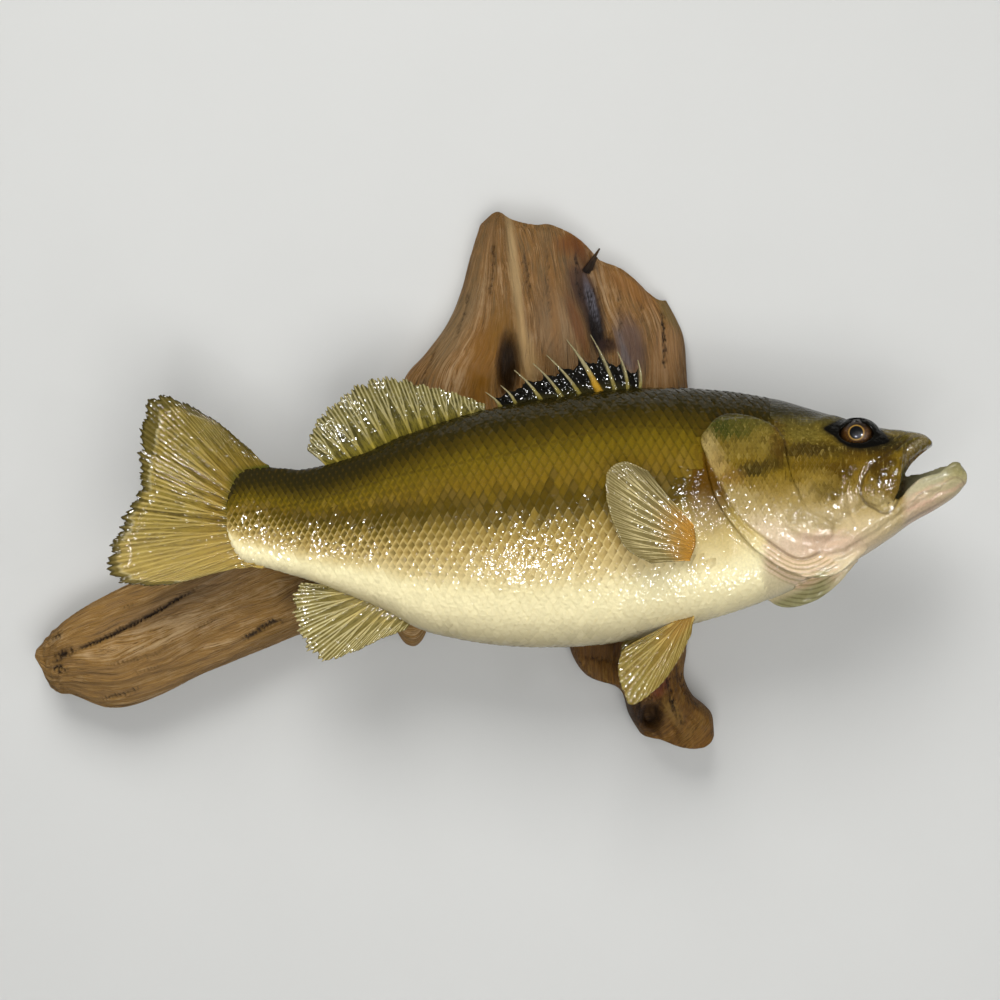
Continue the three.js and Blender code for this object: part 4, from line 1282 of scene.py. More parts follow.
@dataclass(frozen=True)
class Coat:
    """Overlapping scales over trunk and tail, on one side."""

    side: Side
    depth: float = 0.7
    long: float = 1.8
    across: int = 6
    along: int = 3

    def template(self) -> Mesh:
        """One closed scale: a small grid with a face under it."""
        mesh = gridded(self.across, self.along, lambda u, v: stacked(u, v, 0))

        def under(bm: BMesh) -> None:
            """Closes the grid from below."""
            rim = [edge for edge in bm.edges if edge.is_boundary]
            bmesh.ops.contextual_create(bm, geom=rim)
            for edge in rim:
                edge.smooth = False

        return edited(mesh, under, outward)

    def lattice(self, flank: Flank) -> tuple[Array, Array]:
        """Where the scales stand, as x and row."""
        columns = [COAT_START]
        while columns[-1] < COAT_END:
            columns.append(columns[-1] + float(COLUMN_PITCH(columns[-1])))
        columns = np.array(columns)
        found = []
        for row in COAT_ROWS:
            x = columns + (row % 2) * COLUMN_PITCH(columns) / 2
            arc = flank.row(x, np.full(x.shape, float(row)))
            spare = 0.25 * ROW_PITCH(x)
            z = flank.point(x, arc, np.zeros(x.shape))[:, 2]
            keep = (arc > spare) & (arc < flank.reach(x) - spare) & (bare(x, z) < 0.5)
            found += [(a, float(row)) for a in x[keep]]
        return tuple(np.array(found).T)

    def build(self, flank: Flank) -> Mesh:
        """The scales on the straight fish, in millimetres."""
        x0, row = self.lattice(flank)
        count = len(x0)
        template = self.template()
        u, v, _ = read(template, "grid").T
        mesh = strewn(template, count)
        draw = np.random.default_rng(SCALE_SEEDS[self.side])
        tip, turn, roll = draw.uniform(-1, 1, (3, count, 1))
        z0 = flank.point(x0, flank.row(x0, row), np.zeros(count))[:, 2]
        share0 = BODY.share(x0, z0)
        pitch = COLUMN_PITCH(x0)[:, None]
        f = np.array([0, 0.45, 0.9, 1.0])[np.rint(v * self.along).astype(int)][None]
        t = (u * 2 - 1)[None]
        x = x0[:, None] + pitch * (0.85 - self.long * f + 0.55 * np.abs(t) ** 1.5 * f)
        arc = flank.row(x, row[:, None] + 0 * x)
        arc = arc + ROW_PITCH(x) * 1.04 * t * (0.86 + 0.14 * f) + 0.12 * pitch * roll * f
        size = pitch / USUAL_PITCH
        height = -self.depth - 0.15 + (self.depth + 0.2) * f**1.1 * size
        height = height + 0.26 * size * (1 - t**2) * f + f * (0.1 * tip + 0.15 * turn * t)
        height = height - 0.2 * size * (f > 0.99) * (1 - 0.5 * t**2)
        flat = np.maximum(bare(x0, z0) * 1.6, 0.5 * smooth(0.3, 0.12, share0))[:, None]
        height = -self.depth - 0.15 + (height + self.depth + 0.15) * (1 - 0.75 * np.minimum(flat, 1))
        points = flank.point(x, arc, height)
        points[..., 1] *= -self.side.value
        move(mesh, points.reshape(-1, 3))
        own, root = BODY.share(x, points[..., 2]), share0[:, None]
        share = root + (own - root) * smooth(0.4, 0.2, root)
        write(mesh, "lie", x0[:, None], share, z0[:, None])
        chance = draw.uniform(0, 1, (count, 1)) + LATERAL_MARK * (row[:, None] == 0)
        write(mesh, "local", f, t, chance)
        bake_map(mesh, x0, flank.row(x0, row) / flank.reach(x0), u, v, self.side)
        LOG.info("%s scales: %d", self.side.word, count)
        return mesh


@dataclass(frozen=True)
class FaceCoat:
    """Small flat scales on the gill cover and cheek of one side."""

    side: Side
    column: float = 2.7
    row: float = 2.1
    long: float = 1.7
    wide: float = 1.15
    rise: float = 0.25
    buried: float = 0.14
    outside: float = 90.0
    least_facing: float = 0.3

    def lattice(self) -> tuple[Array, Array]:
        """Where the scales stand, as x and z."""
        count = np.arange(-40, 40)
        row, column = (grid.ravel() for grid in np.meshgrid(count, count))
        x = 122 + (column + 0.5 * (row % 2)) * self.column
        z = row * self.row
        cover = np.min([COVER.inside(x, z) - 3.2, z + 37, 130 - x], axis=0)
        keep = np.maximum(cover, CHEEK.inside(x, z)) > 1.0 + 1.6 * ripple(x * 1.7, z * 1.7, 27)
        return x[keep], z[keep]

    def build(self, skin: Mesh) -> Mesh:
        """The scales on the straight fish, in millimetres, laid on its skin."""
        tree = BVHTree.FromPolygons(
            [tuple(point) for point in coordinates(skin)], [tuple(face.vertices) for face in skin.polygons])
        x0, z0 = self.lattice()
        template = Coat(self.side, across=4, along=2).template()
        u, v, _ = read(template, "grid").T
        f, t = v, u * 2 - 1
        draw = np.random.default_rng(FACE_SEEDS[self.side])
        chance = draw.uniform(0, 1, len(x0))
        points, kept = [], []
        for index, (x, z) in enumerate(zip(x0, z0)):
            scale = []
            for along, across in zip(f, t):
                ahead = self.column * (0.8 - self.long * along + 0.5 * abs(across) ** 1.5 * along)
                start = Vector((x + ahead, self.side.value * self.outside, z + self.row * self.wide * across))
                hit, facing, _, _ = tree.ray_cast(start, Vector((0, -self.side.value, 0)))
                if hit is None or facing.y * self.side.value < self.least_facing:
                    break
                lift = self.rise * along * (0.7 + 0.3 * chance[index]) * (1 - 0.35 * across**2) - self.buried
                scale.append(hit + facing * lift)
            if len(scale) == len(f):
                points.append(scale)
                kept.append(index)
        x0, z0, chance = x0[kept], z0[kept], chance[kept]
        mesh = strewn(template, len(kept))
        move(mesh, np.array(points, float).reshape(-1, 3))
        share = BODY.share(x0, z0)
        write(mesh, "lie", *np.repeat([x0, share, z0], len(u), axis=1))
        write_lid(mesh, np.repeat(x0, len(u)), np.repeat(z0, len(u)))
        write(mesh, "local", f[None], t[None], chance[:, None])
        bake_map(mesh, x0, np.arcsin(np.clip(share * 2 - 1, -1, 1)) / math.pi + 0.5, u, v, self.side)
        LOG.info("%s face scales: %d", self.side.word, len(kept))
        return mesh


def bake_map(mesh: Mesh, x: Array, climb: Array, u: Array, v: Array, side: Side) -> None:
    """Gives each scale its small patch at its root's place on the unrolled skin.

    Args:
        mesh: the scales, joined in order.
        x: each scale's x.
        climb: each scale's share of the way round the body from belly to back.
        u: place across a scale, for each of its vertices.
        v: place along it.
        side: which side of the fish it is.
    """
    along = BAKE_MARGIN + (1 - 2 * BAKE_MARGIN) * (x - TAIL_END_X) / (CHIN_X - TAIL_END_X)
    around = BAKE_MARGIN + (0.5 - 2 * BAKE_MARGIN) * climb + (0.5 if side is Side.LEFT else 0)
    places = stacked(along[:, None] + BAKE_PATCH * (v - 0.5), around[:, None] + BAKE_PATCH * (u - 0.5))
    corners = fetched(mesh.loops, "vertex_index", 1, np.int64).ravel()
    layer = mesh.uv_layers.new(name="OFBake")
    layer.data.foreach_set("uv", places.reshape(-1, 2)[corners].ravel())


def bare(x: Array, z: Array) -> Array:
    """1 where the skin has no scales: under and round the gill covers, and on the shoulder."""
    edge = COVER.inside(x, z)
    apron = smooth(-4, 4, edge + 20 * smooth(8, -8, z) + 12 * smooth(-8, -24, z) * smooth(-66, -54, z))
    fin = 1 - smooth(0.8, 1.2, ((x - 73.5) / 6) ** 2 + ((z + 43) / 12) ** 2)
    nape = smooth(125, 129, x + 4 * smooth(38, 48, z))
    return np.max([smooth(1.5, 3.5, edge), smooth(0, 2, FRINGE_EDGE.inside(x, z)), apron, fin, nape], axis=0)


def face_scale_finish() -> Material:
    """Small scales in the markings of the face, with a darker root and a paler rim."""
    graph = Graph("face_scales")
    x, share, z = graph.stored("lie")
    f, t, chance = graph.stored("local")
    face = head_colour(graph, x, z, share, (0.0, 0.0, 0.0))
    # Darker toward the root, beside the rim of the scale that overlaps it: partly pigment, partly painted
    # shadow of that rim.
    colour = graph.mix(f.step(0.75, 0.45) * z.step(-35, -10) * 0.25, face, "3a2c0c")
    colour = graph.mix((f + abs(t) * 0.2).step(0.9, 1.1) * 0.05, colour, "c9b479")
    colour = graph.mix(chance * 0.2, colour, "5a4616")
    fine = graph.ripples()
    tilt = (chance - 0.5) * t * 2.0 + (chance * 37.0).sine() * f
    return graph.wet(colour, fine, fine + tilt * 0.6, SCALE_BUMP)


def scale_finish() -> Material:
    """Glossy scales with a paler or darker rim."""
    graph = Graph("scales")
    x, share, z = graph.stored("lie")
    f, t, draw = graph.stored("local")
    pored = draw.step(LATERAL_MARK / 2 - 1, LATERAL_MARK / 2)
    chance = draw - pored * LATERAL_MARK
    where = graph.vector(x * 0.1, 0.0, z * 0.1)
    blotch = graph.noise(where, 0.9, 5.0, 0.65)
    base = trunk_colour(graph, x, share, blotch + (chance - 0.5) * 0.22)
    rim = (f + abs(t) * 0.14 + (blotch - 0.5) * 0.1).step(0.86, 1.0)
    low = share.step(0.62, 0.42)
    pale = graph.mix(0.45, base, "dcc584")
    dark = graph.mix(0.6, base, "2c2408")
    edge = graph.mix(low, dark, pale)
    core = graph.mix(share.step(0.16, 0.34) * 0.4, base, "b89f66", "MULTIPLY")
    # Darker toward the root, beside the rim of the scale that overlaps it: partly pigment, partly painted
    # shadow of that rim.
    core = graph.mix(f.step(0.72, 0.5) * share.step(0.16, 0.4) * 0.38, core, "54400f")
    spot = abs(f - 0.62) * 2.6 + abs(t) * 0.9
    tail = x.step(-20, -120) * share.step(0.2, 0.42) * share.step(0.9, 0.7)
    core = graph.mix((spot + (chance - 0.5) * 0.6).step(0.9, 0.2) * tail * 0.65, core, "453b0e")
    gleam = (chance - 0.5) * 0.25 * share.step(0.8, 0.6) * share.step(0.2, 0.35)
    core = graph.mix(gleam, core, "c9a95c")
    colour = graph.mix(rim * (share.step(0.18, 0.36) * 0.55 + 0.06), core, edge)
    pore = ((f - 0.72) ** 2.0 + (t * 0.7) ** 2.0).root().step(0.2, 0.1) * pored
    colour = graph.mix(pore * 0.3, colour, "2a200a")
    fine = graph.ripples()
    tilt = (chance - 0.5) * t * 2.6 + (chance * 37.0).sine() * f * 1.6
    return graph.wet(colour, fine, fine + tilt * 0.6, SCALE_BUMP)


# ---------------------------------------------------------------- fins


@dataclass(frozen=True)
class FinFinish:
    """Rays and web of a fin, from root to tip."""

    name: str
    ray_root: str
    ray_tip: str
    web_root: str
    web_tip: str
    streak: str
    streaks: float = 0.5
    fade: float = 0.0
    rough: float = 0.00045
    margin: str | None = None
    stout: float = -9.0

    def build(self) -> Material:
        """The material."""
        graph = Graph(self.name)
        phase, v, ridge = graph.stored("ray")
        fork = ridge.step(0.18, 0.6) * (1 - v.step(0.6, 1.0) * self.fade)
        where = graph.vector(phase * 0.35, v * 3.0, 0.0)
        blotch = graph.noise(where, 1.6, 4.0, 0.6)
        web = graph.mix(v.step(0.02, 0.55), self.web_root, self.web_tip)
        streak = graph.noise(graph.vector(phase * 1.7, v * 1.5, 0.0), 2.2, 5.0, 0.75).step(0.42, 0.62)
        web = graph.mix(streak * self.streaks, web, self.streak)
        ray = graph.mix((v + (blotch - 0.5) * 0.6).step(0.02, 0.6), self.ray_root, self.ray_tip)
        ray = graph.mix(streak * self.streaks * 0.4, ray, self.streak)
        colour = graph.mix(fork * 0.85, web, ray)
        colour = graph.mix((blotch - 0.4) * 0.7, colour, self.streak)
        colour = graph.mix(abs(phase - self.stout).step(0.3, 0.1) * v.step(0.5, 0.1) * 0.8, colour, "b88a22")
        if self.margin:
            upper = (phase + (blotch - 0.5) * 6).step(8, 1)
            colour = graph.mix(upper * 0.65, colour, "62521a")
            colour = graph.mix(phase.step(9, 13) * 0.35, colour, "c7aa60")
            far = phase.step(1.8, 3.2) * phase.step(16.6, 14.6)
            edge = v + (blotch - 0.5) * 0.12 + (phase * 6.28).sine() * 0.008
            edge = edge - phase.step(6, 9) * phase.step(15, 12) * 0.07
            colour = graph.mix(edge.step(0.84, 0.88) * far * 0.75, colour, self.margin)
            # A broken pale line just inside the dark margin: painted highlight, glare on the wet fin.
            broken = (blotch + (phase * 2.6).sine() * 0.15).step(0.4, 0.62)
            line = abs(edge - 0.85).step(0.03, 0.004) * broken
            colour = graph.mix(line * far * 0.2, colour, "d8d0a8")
            colour = graph.mix(v.step(0.955, 0.99) * 0.6, colour, "1d1908")
            root = (v + (blotch - 0.5) * 0.2).step(0.17, 0.03)
            colour = graph.mix(root * phase.step(16, 2) * 0.85, colour, "39400f")
        fine = graph.ripples()
        return graph.wet(colour, fine, fine, self.rough)


@dataclass(frozen=True)
class RayFin:
    """A soft fin: forking rays with a thin web between them."""

    name: str
    node: str
    slot: str
    base: Path
    tip: Path
    rays: int
    sway: Callable[[Array, Array], Array]
    ray: float = 1.5
    web: float = 0.6
    notch: float = 0.05
    ragged: float = 0.02
    wave: float = 0.5
    fork: float = 0.3
    fade: float = 0.6
    hem: float = 0.0
    cells: int = 18
    rows: int = 48
    seed: int = 1

    def ridge(self, phase: Array, v: Array) -> Array:
        """How much of a ray is at (phase, v), where rays stand at whole phases."""
        off = np.abs(phase - np.rint(phase))
        first = 0.24 * smooth(self.fork - 0.25, self.fork + 0.45, v)
        second = 0.12 * smooth(self.fork, self.fork + 0.5, v)
        width = 0.09 - 0.04 * smooth(0.05, 0.6, v)
        return np.maximum(bell(off - first - second, width), bell(off - first + second, width))

    def build(self) -> Mesh:
        """The fin on the straight fish, in millimetres."""
        def place(u: Array, v: Array) -> Array:
            """Where the web is at u across the rays and v along them."""
            phase = u * self.rays
            off = 2 * np.abs(phase - np.rint(phase))
            tear = (ripple(phase * 0.9, 0 * u, self.seed) + ripple(phase * 2.3, 0 * u, self.seed + 1)
                    + 0.8 * ripple(phase * 6.1, 0 * u, self.seed + 2))
            fork = 0.4 * self.notch * (1 - self.ridge(phase, np.ones_like(v)))
            reach = v * (1 - (self.notch * off**2 + fork + self.ragged * np.abs(tear)) * v**3)
            base, tip = self.base(u), self.tip(u)
            points = base + (tip - base) * reach[:, None]
            points[:, 1] += self.sway(u, v)
            points[:, 1] += self.wave * v * np.sin(2 * math.pi * phase * 0.5 + 3 * v)
            return points

        mesh = gridded(self.cells * self.rays, self.rows, place)
        mesh = modified(mesh, "SOLIDIFY", thickness=self.web, offset=0.0)
        u, v, _ = read(mesh, "grid").T
        phase = u * self.rays
        ridge = self.ridge(phase, v)
        swell = 0.5 * (self.ray - self.web) * ridge * (1 - self.fade * v) + 0.6 * bell(v, 0.1)
        hem = bell(v - 0.855 - 0.01 * np.sin(2 * math.pi * phase), 0.014)
        write(mesh, "ray", phase, v, ridge)
        return move(mesh, coordinates(mesh) + normals(mesh) * (swell + self.hem * hem)[:, None])


SPINES = (
    (-32, 37, -44, 46), (-24, 39, -35, 50), (-9, 42, -27, 59), (3, 44, -16, 63), (14, 45, -8, 68),
    (25, 46, 4, 77), (34, 47, 18, 80), (41, 47, 34, 70), (47, 46, 46, 65))


@dataclass(frozen=True)
class SpinyFin:
    """The first dorsal fin: stiff spines with a web that sags between them."""

    radius: float = 1.45
    web: float = 0.6
    climb: float = 0.72
    sag: float = 0.2
    stout: int = 5

    def build(self) -> Mesh:
        """The fin on the straight fish, in millimetres."""
        spines = np.array(SPINES, float)
        last = len(spines) - 1

        def place(u: Array, v: Array) -> Array:
            """Where the web is at u from spine to spine and v from the back up."""
            phase = u * last
            i = np.minimum(phase.astype(int), last - 1)
            t = phase - i
            here = spines[i] * (1 - t)[:, None] + spines[i + 1] * t[:, None]
            top = self.climb - self.sag * np.sin(math.pi * t) ** 0.7 + 0.03 * ripple(phase * 2.1, 0 * u, 5)
            x = here[:, 0] + (here[:, 2] - here[:, 0]) * v * top
            z = here[:, 1] + (here[:, 3] - here[:, 1]) * v * top
            return stacked(x, 1.6 * np.sin(2 * math.pi * t) * v * (1 - 0.3 * v), z - 2 * (1 - v))

        web = modified(gridded(16 * last, 26, place), "SOLIDIFY", thickness=self.web, offset=0.0)
        u, v, _ = read(web, "grid").T
        write(web, "ray", u * last, v, 0.35 * bell(u * last - np.rint(u * last), 0.12))
        parts = [web]
        for order, (x0, z0, x1, z1) in enumerate(SPINES):
            thick = self.radius * (1.7 if order == self.stout else 1.0)
            spine = rod((x0, 0, z0 - 3), (x1, 0, z1), thick, 0.28, segments=12)
            spine = edited(spine, lambda bm: bmesh.ops.subdivide_edges(
                bm, edges=[e for e in bm.edges if e.calc_length() > 4], cuts=8, use_grid_fill=True))
            points = coordinates(spine)
            rise = (points[:, 2] - z0) / (z1 - z0)
            points[:, 0] += 1.4 * np.sin(math.pi * np.clip(rise, 0, 1))
            write(spine, "ray", order, np.clip(rise, 0, 1), 1)
            parts.append(move(spine, points))
        return joined(*parts)


def along_y(side: Side, y: float, *points: tuple[float, float]) -> Path:
    """A path through (x, z) points at one depth on a side of the fish."""
    return Path([(x, side.value * y, z) for x, z in points])


def pectoral(side: Side) -> RayFin:
    """The fin behind the gill cover; the right one stands off the flank."""
    lift = 3 if side is Side.LEFT else 14
    return RayFin(
        f"pectoral_fin_{side.word}_rays", f"pectoral_fin_{side.word}", "fin",
        along_y(side, 38, (75.5, -34), (76.5, -44), (73, -53)),
        along_y(side, 41, (48, -1.5), (34, 4), (25.5, -1), (24.5, -16), (28.5, -31), (36, -45), (50, -53.5)),
        13, lambda u, v: side.value * lift * v * v, ray=1.7, notch=0.004, ragged=0.003, fork=0.5,
        fade=0.95, seed=21)


def pelvic(side: Side) -> RayFin:
    """The fin under the breast; the left one lies closer to the belly."""
    near = side is Side.RIGHT
    return RayFin(
        f"pelvic_fin_{side.word}_rays", f"pelvic_fin_{side.word}", "pale_fin",
        along_y(side, 14, (67, -89), (72, -88), (77.5, -87)),
        along_y(side, 14, *((x, z) if near else (x + 4, z + 5) for x, z in (
            (47, -98.5), (36, -105), (33, -116), (36, -129), (40, -136.5), (53, -129.5), (67, -112),
            (75.5, -96)))),
        6, lambda u, v: side.value * 8 * v, ray=1.8, notch=0.006, ragged=0.004, fork=0.25, cells=34,
        seed=31)


CAUDAL = RayFin(
    "caudal_fin_rays", "caudal_fin", "fin",
    Path([(-172, 2), (-185, -6), (-192, -27), (-184, -49), (-175, -57)]),
    Path([(-183, 12), (-208, 33), (-238, 44.5), (-244.5, 30), (-247, 11), (-246, -9), (-257, -30),
          (-264.5, -52), (-261, -64), (-231, -67.5), (-200, -57.5)]),
    17, lambda u, v: 4 * v * v * np.sin(7 * u) - 5 * v**3 * (1 - u), ray=2.2, notch=0.03, ragged=0.02,
    fork=0.18, hem=0.35, cells=20, rows=80, wave=0.5, seed=41)
SOFT_DORSAL = RayFin(
    "dorsal_fin_soft_rays", "dorsal_fin_soft", "fin",
    Path([(-137, 2), (-118, 6), (-94, 16), (-70, 25), (-44, 33)]),
    Path([(-149.5, 12), (-147.5, 22), (-142, 33), (-129, 45), (-117, 53), (-105, 56), (-83, 52), (-59, 45),
          (-44, 39)]),
    13, lambda u, v: -3 * v * v * (1 - u), notch=0.05, ragged=0.03, fork=0.25, fade=0.4, wave=0.7, seed=51)
ANAL = RayFin(
    "anal_fin_rays", "anal_fin", "pale_fin",
    Path([(-128, -69), (-114, -75), (-100, -82), (-87, -89)]),
    Path([(-141, -69), (-154, -67), (-158.5, -77), (-156, -92), (-150, -106), (-141, -113), (-125, -109),
          (-106, -100), (-91, -94)]),
    11, lambda u, v: -6 * v * v * (1 - 0.5 * u), notch=0.05, ragged=0.025, fork=0.25, fade=0.4, wave=0.6,
    seed=61)

FIN_FINISHES = {
    "caudal_fin": FinFinish("tail_fin", "b4984a", "b6a05a", "8d7228", "8c7a36", "33260a", 0.75,
                            margin="4b421b"),
    "dorsal_fin_soft": FinFinish("soft_dorsal", "9c8a34", "ada272", "6e621c", "6e6534", "25220c", 0.75),
    "anal_fin": FinFinish("anal_fin", "c2ab62", "c6b986", "93834a", "82753f", "4a3f18", 0.6),
    "pectoral_fin_right": FinFinish("pectoral_fin", "d2983a", "dccb94", "b07f30", "86794c", "5a4a20", 0.45,
                                    0.7),
    "pelvic_fin_right": FinFinish("pelvic_fin", "c6a860", "ab985c", "9c7a3c", "867538", "6e5420", 0.6, 0.4),
    "dorsal_fin_spiny": FinFinish("spiny_dorsal", "8a7c3a", "a59a72", "3a3414", "0e0c07", "060503", 0.5,
                                  rough=0.001, stout=5.0),
}


# ---------------------------------------------------------------- eyes


@dataclass(frozen=True)
class Eye:
    """An eyeball with a bulging cornea over iris and pupil."""

    side: Side
    pupil: float = 3.8
    ring: float = 4.4
    iris: float = 8.7
    bulge: float = 0.9

    def build(self) -> Mesh:
        """The eye on the straight fish, in millimetres, with its pole toward the side."""
        bm = bmesh.new()
        bmesh.ops.create_uvsphere(bm, u_segments=64, v_segments=48, radius=EYE_RADIUS)
        turn = Matrix.Rotation(self.side.value * math.pi / -2, 3, "X")
        bmesh.ops.rotate(bm, verts=bm.verts, matrix=turn, cent=(0, 0, 0))
        mesh = finished(bm, "eye")
        points = coordinates(mesh)
        radius = np.hypot(points[:, 0], points[:, 2])
        out = points[:, 1] * self.side.value > 0
        write(mesh, "lie", np.where(out, radius, 20), points[:, 0], points[:, 2])
        dome = self.bulge * np.clip(1 - (radius / self.iris) ** 2, 0, 1) * out
        points[:, 1] += self.side.value * dome
        return move(mesh, points + np.array([EYE_X, self.side.value * EYE_Y, EYE_Z]))

    def finish(self) -> Material:
        """Black pupil, gold ring, brown iris with fine spokes, under a clear glossy cornea."""
        graph = Graph("eye")
        radius, x, z = graph.stored("lie")
        turn = x.turn(z)
        spokes = graph.noise(graph.vector(turn * 3.0, radius * 0.25, 0.0), 3.0, 4.0, 0.7)
        fleck = graph.noise(graph.vector(x * 0.4, z * 0.4, 0.0), 2.0, 3.0)
        iris = graph.mix(spokes.step(0.35, 0.7), "24150a", "664218")
        iris = graph.mix((fleck - 0.35) * 0.7, iris, "3c260c")
        iris = graph.mix(radius.step(6.4, 8.6) * 0.7, iris, "1c1208")
        iris = graph.mix((z + (spokes - 0.5) * 3).step(1.5, 4.5) * 0.85, iris, "0d0904")
        gold = (radius + (spokes - 0.5) * 0.5).step(self.ring + 0.5, self.ring - 0.2)
        colour = graph.mix(gold * spokes.step(0.3, 0.5), iris, "9c7834")
        colour = graph.mix(radius.step(self.pupil + 0.18, self.pupil - 0.1), colour, "030303")
        colour = graph.mix(radius.step(self.iris - 0.1, self.iris + 0.3), colour, "0c0a08")
        bowl = radius.step(self.iris, self.pupil)
        return graph.finish(
            Base_Color=colour, Roughness=0.35, IOR=1.2, Coat_Weight=1.0, Coat_IOR=1.36, Coat_Roughness=0.01,
            Normal=graph.bump(spokes * 0.3 - bowl, 0.0009, 0.7))


# ---------------------------------------------------------------- driftwood


@dataclass(frozen=True)
class WoodFinish:
    """Weathered wood, with its grain along the second value of the piece's grain attribute."""

    name: str
    pale: str
    mid: str
    dark: str
    warm: str
    stains_and_painted_light: tuple[Patch, ...]

    def build(self) -> Material:
        """The material."""
        graph = Graph(self.name)
        across, along, cut = graph.stored("grain")
        x, z, _ = graph.stored("spot")
        deep = graph.depth()
        swirl = graph.noise(graph.vector(across * 0.02, along * 0.012, deep * 0.02), 1.0, 3.0)
        line_at = across + (swirl - 0.5) * 14
        broad = graph.noise(graph.vector(line_at * 0.10, along * 0.010, deep * 0.03), 1.0, 4.0, 0.6)
        line = graph.noise(graph.vector(line_at * 0.55, along * 0.014, deep * 0.16 + 3), 1.0, 5.0, 0.72)
        fine = graph.noise(graph.vector(line_at * 2.1, along * 0.05, deep * 0.5 + 7), 1.0, 4.0, 0.7)
        mottle = graph.noise(graph.vector(x * 0.09, z * 0.09, deep * 0.06 + 5), 1.0, 5.0, 0.65)
        colour = graph.ramp(broad * 0.3 + line * 0.4 + fine * 0.15 + mottle * 0.15, (0.36, self.dark),
                            (0.44, self.mid), (0.51, self.warm), (0.60, self.pale))
        colour = graph.mix(line.step(0.42, 0.32) * 0.55, colour, self.dark)
        colour = graph.mix((fine - 0.5).step(0.02, 0.16) * 0.45, colour, self.pale)
        colour = graph.mix((fine - 0.5).step(-0.03, -0.18) * 0.75, colour, self.dark)
        warp_x, warp_z = x + (line - 0.5) * 5, z + (mottle - 0.5) * 12
        # Stains, and a few Patches of painted highlight and painted shade.
        for tint in self.stains_and_painted_light:
            colour = graph.mix(tint.mask(graph, warp_x, warp_z) * (line * 0.7 + 0.65), colour, tint.colour)
        # Near black in cracks and hollows: painted shade; on the splinters, their darkness.
        colour = graph.mix(cut * 0.9, colour, "150c06")
        height = line * 0.7 + fine * 0.6 + broad * 0.3
        return graph.finish(
            Base_Color=colour, Roughness=0.78 - fine * 0.3, IOR=1.4, Specular_IOR_Level=0.2,
            Normal=graph.bump(height, 0.0028, 0.9))


def crumple(across: Array, along: Array, seed: int) -> Array:
    """Unevenness of a wood surface along its grain, in millimetres."""
    bend = across + 3 * ripple(across / 40, along / 60, seed)
    return (0.5 * ripple(bend * 0.19, along * 0.006, seed + 1)
            + 0.4 * ripple(bend * 0.45, along * 0.012, seed + 2)
            + 0.8 * ripple(across * 0.03, along * 0.022, seed + 3))


def furrow(u: Array, v: Array) -> Array:
    """The shallow furrows of the wood, in millimetres."""
    return 1.6 * np.sin(23 * u + 2 * v) + 0.9 * np.sin(51 * u - 3 * v)


def rounded(u: Array, middle: float, edge: float) -> Array:
    """Thickness that falls off toward a slab's edges."""
    return edge + (middle - edge) * np.sqrt(np.clip(1 - (2 * u - 1) ** 4, 0, 1))


def split(creases: Sequence[Crease], x: Array, z: Array) -> tuple[Array, Array]:
    """What the cracks of a piece do at (x, z).

    Args:
        creases: the cracks.
        x: places.
        z: heights.

    Returns:
        How far they move the surface, and how much painted shade darkens them, as a share.
    """
    lifts = []
    wobble = 0.9 * ripple(x / 3, z / 5, 17)
    for fold in creases:
        ends = [np.hypot(x - point[0], z - point[2]) for point in fold.line.points[[0, -1]]]
        taper = smooth(0, 0.3 * fold.line.length, np.minimum(*ends))
        broken = np.clip(0.75 + 0.5 * ripple(x / 2, z / 4, 19), 0, 1)
        crack = fold.lift(x + wobble, z + wobble) * taper * broken
        lifts.append(crack if fold.height < 0 else fold.lift(x, z))
    lifts = np.array(lifts)
    return lifts.sum(axis=0), np.clip(-lifts.min(axis=0) / 2.2, 0, 1) ** 1.4


BACK_STEPS, BACK_SHRINK = 6, 0.82
EDGE_DROP, EDGE_WIDTH = 4.5, 3.0
HOLLOW_DEPTH = 18
FISH_START, FISH_END, FISH_GAP = -190, 130, 2.0
SPLINTER_GLOOM = 0.9


def write_wood(mesh: Mesh, across: Array, along: Array, cut: Array | float, x: Array, z: Array) -> None:
    """Stores each vertex's place in the grain, how much painted shade darkens a crack or hollow there (on a
    splinter, how dark it is), and its (x, z).
    """
    write(mesh, "grain", across, along, cut)
    write(mesh, "spot", x, z, 0)


